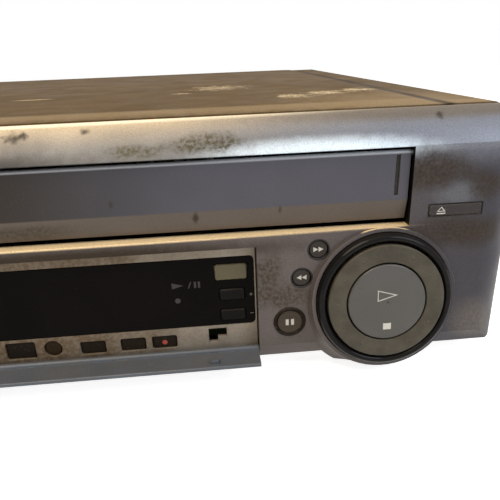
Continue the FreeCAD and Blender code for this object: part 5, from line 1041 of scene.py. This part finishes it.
@dataclass
class Fittings:
    """Signal jacks, aerial sockets and cover screws, turned over the construction model's plain bars."""
    palette: Palette
    rear: float = 383.0
    side: float = 210.5
    jack_rows: tuple[float, ...] = (47.0, 65.0)
    jack_columns: tuple[tuple[float, str], ...] = (
        (65.0, "print_yellow"), (83.0, "print_white"), (101.0, "print_red"))
    sockets: tuple[float, ...] = (144.5, 173.5)
    socket_height: float = 54.0
    socket_radius: float = 4.9
    thread_depth: float = 0.16
    thread_pitch: float = 1.05
    thread_ends: tuple[float, float] = (0.3, 8.7)
    thread_points: int = 113
    bore: float = 1.75
    foot: float = 0.02
    front: float = 9.05
    rear_screws: tuple[float, ...] = (-105.25, 0.0, 105.25)
    rear_screw_height: float = 102.6
    side_screws: tuple[float, ...] = (70.6, 335.0)
    side_screw_height: float = 17.0
    head_radius: float = 4.08
    head_curve: float = 10.9
    head_sunk: float = -8.0
    head_top: float = 2.86
    recess: tuple[float, float] = (3.4, 0.7)
    steps: int = 40
    insert_steps: int = 32

    def placed(self, shape: Shape, name: str, finish: str, smooth: bool = True) -> None:
        """Make a piece that stays on the housing, in the finish of that name."""
        piece = self.palette.piece(shape, name, finish, smooth)
        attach(piece, HOUSING)

    def rear_seat(self, x: float, z: float) -> Seat:
        """Seat on the rear sheet, facing backwards."""
        return Seat((x, self.rear, z), 0.0, 180.0)

    def jacks(self) -> None:
        """Make the jacks' bright sleeves, and their coloured rings and inserts by column."""
        bore, foot, front = self.bore, self.foot, self.front
        sleeve = np.array([(bore, foot), (4.35, foot), (4.35, 8.6), (3.95, front), (bore, front)])
        ring = np.array([(4.4, foot), (6.0, foot), (5.8, 0.9), (4.4, 1.1)])
        insert = np.array([(bore, front), (3.3, front), (3.2, 9.2), (bore, 9.2)])
        sleeves = Shape()
        for x, finish in self.jack_columns:
            rings = Shape()
            for z in self.jack_rows:
                seat = self.rear_seat(x, z)
                sleeves.add_turned(seat, sleeve, self.steps)
                rings.add_turned(seat, ring, self.steps)
                rings.add_turned(seat, insert, self.insert_steps)
            self.placed(rings, "jack_rings_" + finish, finish, False)
        self.placed(sleeves, "jack_sleeves", "bright_steel", False)

    def aerial_sockets(self) -> None:
        """Make the aerial sockets' sleeves, whose radius swells and narrows as a cosine of the depth."""
        bore, foot, front = self.bore, self.foot, self.front
        depth = np.linspace(*self.thread_ends, self.thread_points)
        swell = self.thread_depth * np.cos(FULL_TURN * depth / self.thread_pitch)
        thread = np.stack([self.socket_radius + swell, depth], axis=-1)
        profile = np.concatenate([[(bore, foot), (self.socket_radius, foot)], thread,
                                  [(4.4, front), (bore, front)]])
        shape = Shape()
        for x in self.sockets:
            seat = self.rear_seat(x, self.socket_height)
            shape.add_turned(seat, profile, self.steps)
        self.placed(shape, "socket_threads", "bright_steel")

    def screws(self) -> None:
        """Make domed screw heads, each with a black cross laid on top as painted shade of its cross
        recess.
        """
        seats = [self.rear_seat(x, self.rear_screw_height) for x in self.rear_screws]
        for way in Way:
            for y in self.side_screws:
                place = (self.side * way.value, y, self.side_screw_height)
                seats.append(Seat(place, 0.0, 90.0 * way.value))
        dome = rounded((0.0, self.head_sunk), self.head_curve, 68.0, 88.9, 10)
        profile = np.concatenate([[(0.2, self.foot), (self.head_radius, self.foot)], dome])
        heads = Shape()
        # black crosses paint the shade of the screws' cross recesses
        cross = Sign("screw_recess_shade", seats[0], HOUSING, "print_black")
        long, short = self.recess
        for seat in seats:
            heads.add_turned(seat, profile, self.steps)
            top = seat.lay(np.array([0.0, 0.0, self.head_top])) / MM - np.array([0.0, DEPTH_SHIFT, 0.0])
            cross.seat = Seat(tuple(top), seat.tilt, seat.turn)
            cross.plate(rectangle(0.0, 0.0, long, short))
            cross.plate(rectangle(0.0, 0.0, short, long))
        self.placed(heads, "screw_heads", "bright_steel")
        cross.finished(self.palette)

    def build(self) -> None:
        """Make all fittings."""
        self.jacks()
        self.aerial_sockets()
        self.screws()


# Studio

def looked_at(tree: bpy.types.NodeTree) -> Socket:
    """One for the camera's own, mirrored and see-through looks, and nothing for other light."""
    path = tree.nodes.new("ShaderNodeLightPath")
    seen = path.outputs["Is Camera Ray"]
    for name in ("Is Glossy Ray", "Is Transmission Ray"):
        larger = tree.nodes.new("ShaderNodeMath")
        larger.operation = "MAXIMUM"
        tree.links.new(seen, larger.inputs[0])
        tree.links.new(path.outputs[name], larger.inputs[1])
        seen = larger.outputs[0]
    return seen


def stood(name: str, data: bpy.types.ID, axes: np.ndarray, place: np.ndarray) -> bpy.types.Object:
    """Link a camera or lamp at a place, with its right, up and back directions as columns."""
    matrix = np.eye(4)
    matrix[:3, :3] = axes
    matrix[:3, 3] = place
    made = bpy.data.objects.new(name, data)
    made.matrix_world = Matrix(matrix)
    bpy.context.scene.collection.objects.link(made)
    return made


@dataclass(frozen=True)
class Viewpoint:
    """Camera matched to the photograph: place in millimetres from the panel's face, turns in degrees."""
    place: Place = (91.31, -186.79, 135.78)
    yaw: float = 4.1349
    pitch: float = 21.9193
    roll: float = -2.2471
    lens: float = 35.951
    sensor: float = 36.0
    nearest: float = 0.005

    def turn(self) -> np.ndarray:
        """Matrix whose rows are the camera's right, down and forward."""
        angles = np.radians([self.yaw, self.pitch, self.roll])
        (cos_yaw, cos_pitch, cos_roll), (sin_yaw, sin_pitch, sin_roll) = np.cos(angles), np.sin(angles)
        base = np.array([[1, 0, 0], [0, 0, -1], [0, 1, 0]])
        swing = np.array([[cos_yaw, 0, -sin_yaw], [0, 1, 0], [sin_yaw, 0, cos_yaw]])
        nod = np.array([[1, 0, 0], [0, cos_pitch, -sin_pitch], [0, sin_pitch, cos_pitch]])
        tip = np.array([[cos_roll, -sin_roll, 0], [sin_roll, cos_roll, 0], [0, 0, 1]])
        return tip @ nod @ swing @ base

    def build(self) -> None:
        """Make the camera."""
        data = bpy.data.cameras.new("camera")
        data.sensor_width = self.sensor
        data.lens = self.lens
        data.clip_start = self.nearest
        right, down, forward = self.turn()
        axes = np.column_stack([right, -down, -forward])
        bpy.context.scene.camera = stood("camera", data, axes, model(np.array(self.place)))


@dataclass(frozen=True)
class Lamp:
    """Soft area lamp aimed at a point, in metres."""
    name: str
    place: Place
    aim: Place
    size: float
    power: float
    colour: Colour

    def build(self) -> None:
        """Make the lamp."""
        data = bpy.data.lights.new(self.name, "AREA")
        data.shape = "DISK"
        data.size = self.size
        data.energy = self.power
        data.color = self.colour
        back = np.array(self.place) - np.array(self.aim)
        back = back / np.linalg.norm(back)
        right = np.cross((0.0, 0.0, 1.0), back)
        right = right / np.linalg.norm(right)
        stood(self.name, data, np.column_stack([right, np.cross(back, right), back]), self.place)


LAMPS = (
    Lamp("ceiling", (-0.3, -0.5, 1.15), (0.0, -0.18, 0.1), 0.8, 11.5, (1.0, 0.84, 0.62)),
    Lamp("window", (0.85, -0.75, 0.75), (0.15, -0.19, 0.08), 0.7, 6.0, (0.78, 0.87, 1.0)),
    Lamp("room", (0.4, 0.3, 1.0), (0.1, -0.05, 0.11), 0.9, 3.0, (1.0, 0.86, 0.66)),
)


@dataclass(frozen=True)
class Studio:
    """Pale floor, white surround and soft lamps."""
    floor_size: float = 6.0
    floor_colour: Colour = (0.8, 0.79, 0.77)
    floor_sunk: float = 0.0001
    surround: Colour = (0.20, 0.195, 0.19)
    glow: float = 0.85

    def floor(self) -> None:
        """Make the floor, which looks white to the camera and still takes the shadow."""
        half = self.floor_size / 2
        shape = Shape()
        corners = np.array([(-half, -half), (half, -half), (half, half), (-half, half)])
        shape.add(np.column_stack([corners, np.full(4, -self.floor_sunk)]), np.arange(4)[None, :])
        piece = shape.object("floor", False)
        sketch = Sketch("floor")
        diffuse = sketch.node("ShaderNodeBsdfDiffuse")
        sketch.feed(diffuse.inputs["Color"], self.floor_colour)
        glow = sketch.node("ShaderNodeEmission")
        sketch.feed(glow.inputs["Color"], WHITE)
        sketch.feed(glow.inputs["Strength"], sketch.product(looked_at(sketch.tree), self.glow))
        both = sketch.node("ShaderNodeAddShader")
        sketch.feed(both.inputs[0], diffuse.outputs[0])
        sketch.feed(both.inputs[1], glow.outputs[0])
        sketch.feed(sketch.node("ShaderNodeOutputMaterial").inputs["Surface"], both.outputs[0])
        piece.data.materials.append(sketch.material)

    def surroundings(self) -> None:
        """Make the even surround, white to the camera and in mirrored looks."""
        world = bpy.data.worlds.new("studio")
        bpy.context.scene.world = world
        world.use_nodes = True
        tree = world.node_tree
        background = next(node for node in tree.nodes if node.type == "BACKGROUND")
        mix = tree.nodes.new("ShaderNodeMix")
        mix.data_type = "RGBA"
        mix.inputs[MIX_FIRST].default_value = (*self.surround, 1.0)
        mix.inputs[MIX_SECOND].default_value = (*WHITE, 1.0)
        tree.links.new(looked_at(tree), mix.inputs[0])
        tree.links.new(mix.outputs[MIX_RESULT], background.inputs["Color"])

    def build(self) -> None:
        """Make floor, surround and lamps."""
        bpy.context.scene.view_settings.view_transform = "Standard"
        self.floor()
        self.surroundings()
        for lamp in LAMPS:
            lamp.build()


def main() -> None:
    """Dress the model, add the pieces and light the scene."""
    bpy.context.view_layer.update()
    palette = Palette()
    CadSkin(palette).dress()
    Dial(palette).build()
    KeySigns(palette).build()
    DoorGrooveShade(palette).build()
    Fittings(palette).build()
    Viewpoint().build()
    Studio().build()


if __name__ == "__main__":
    main()
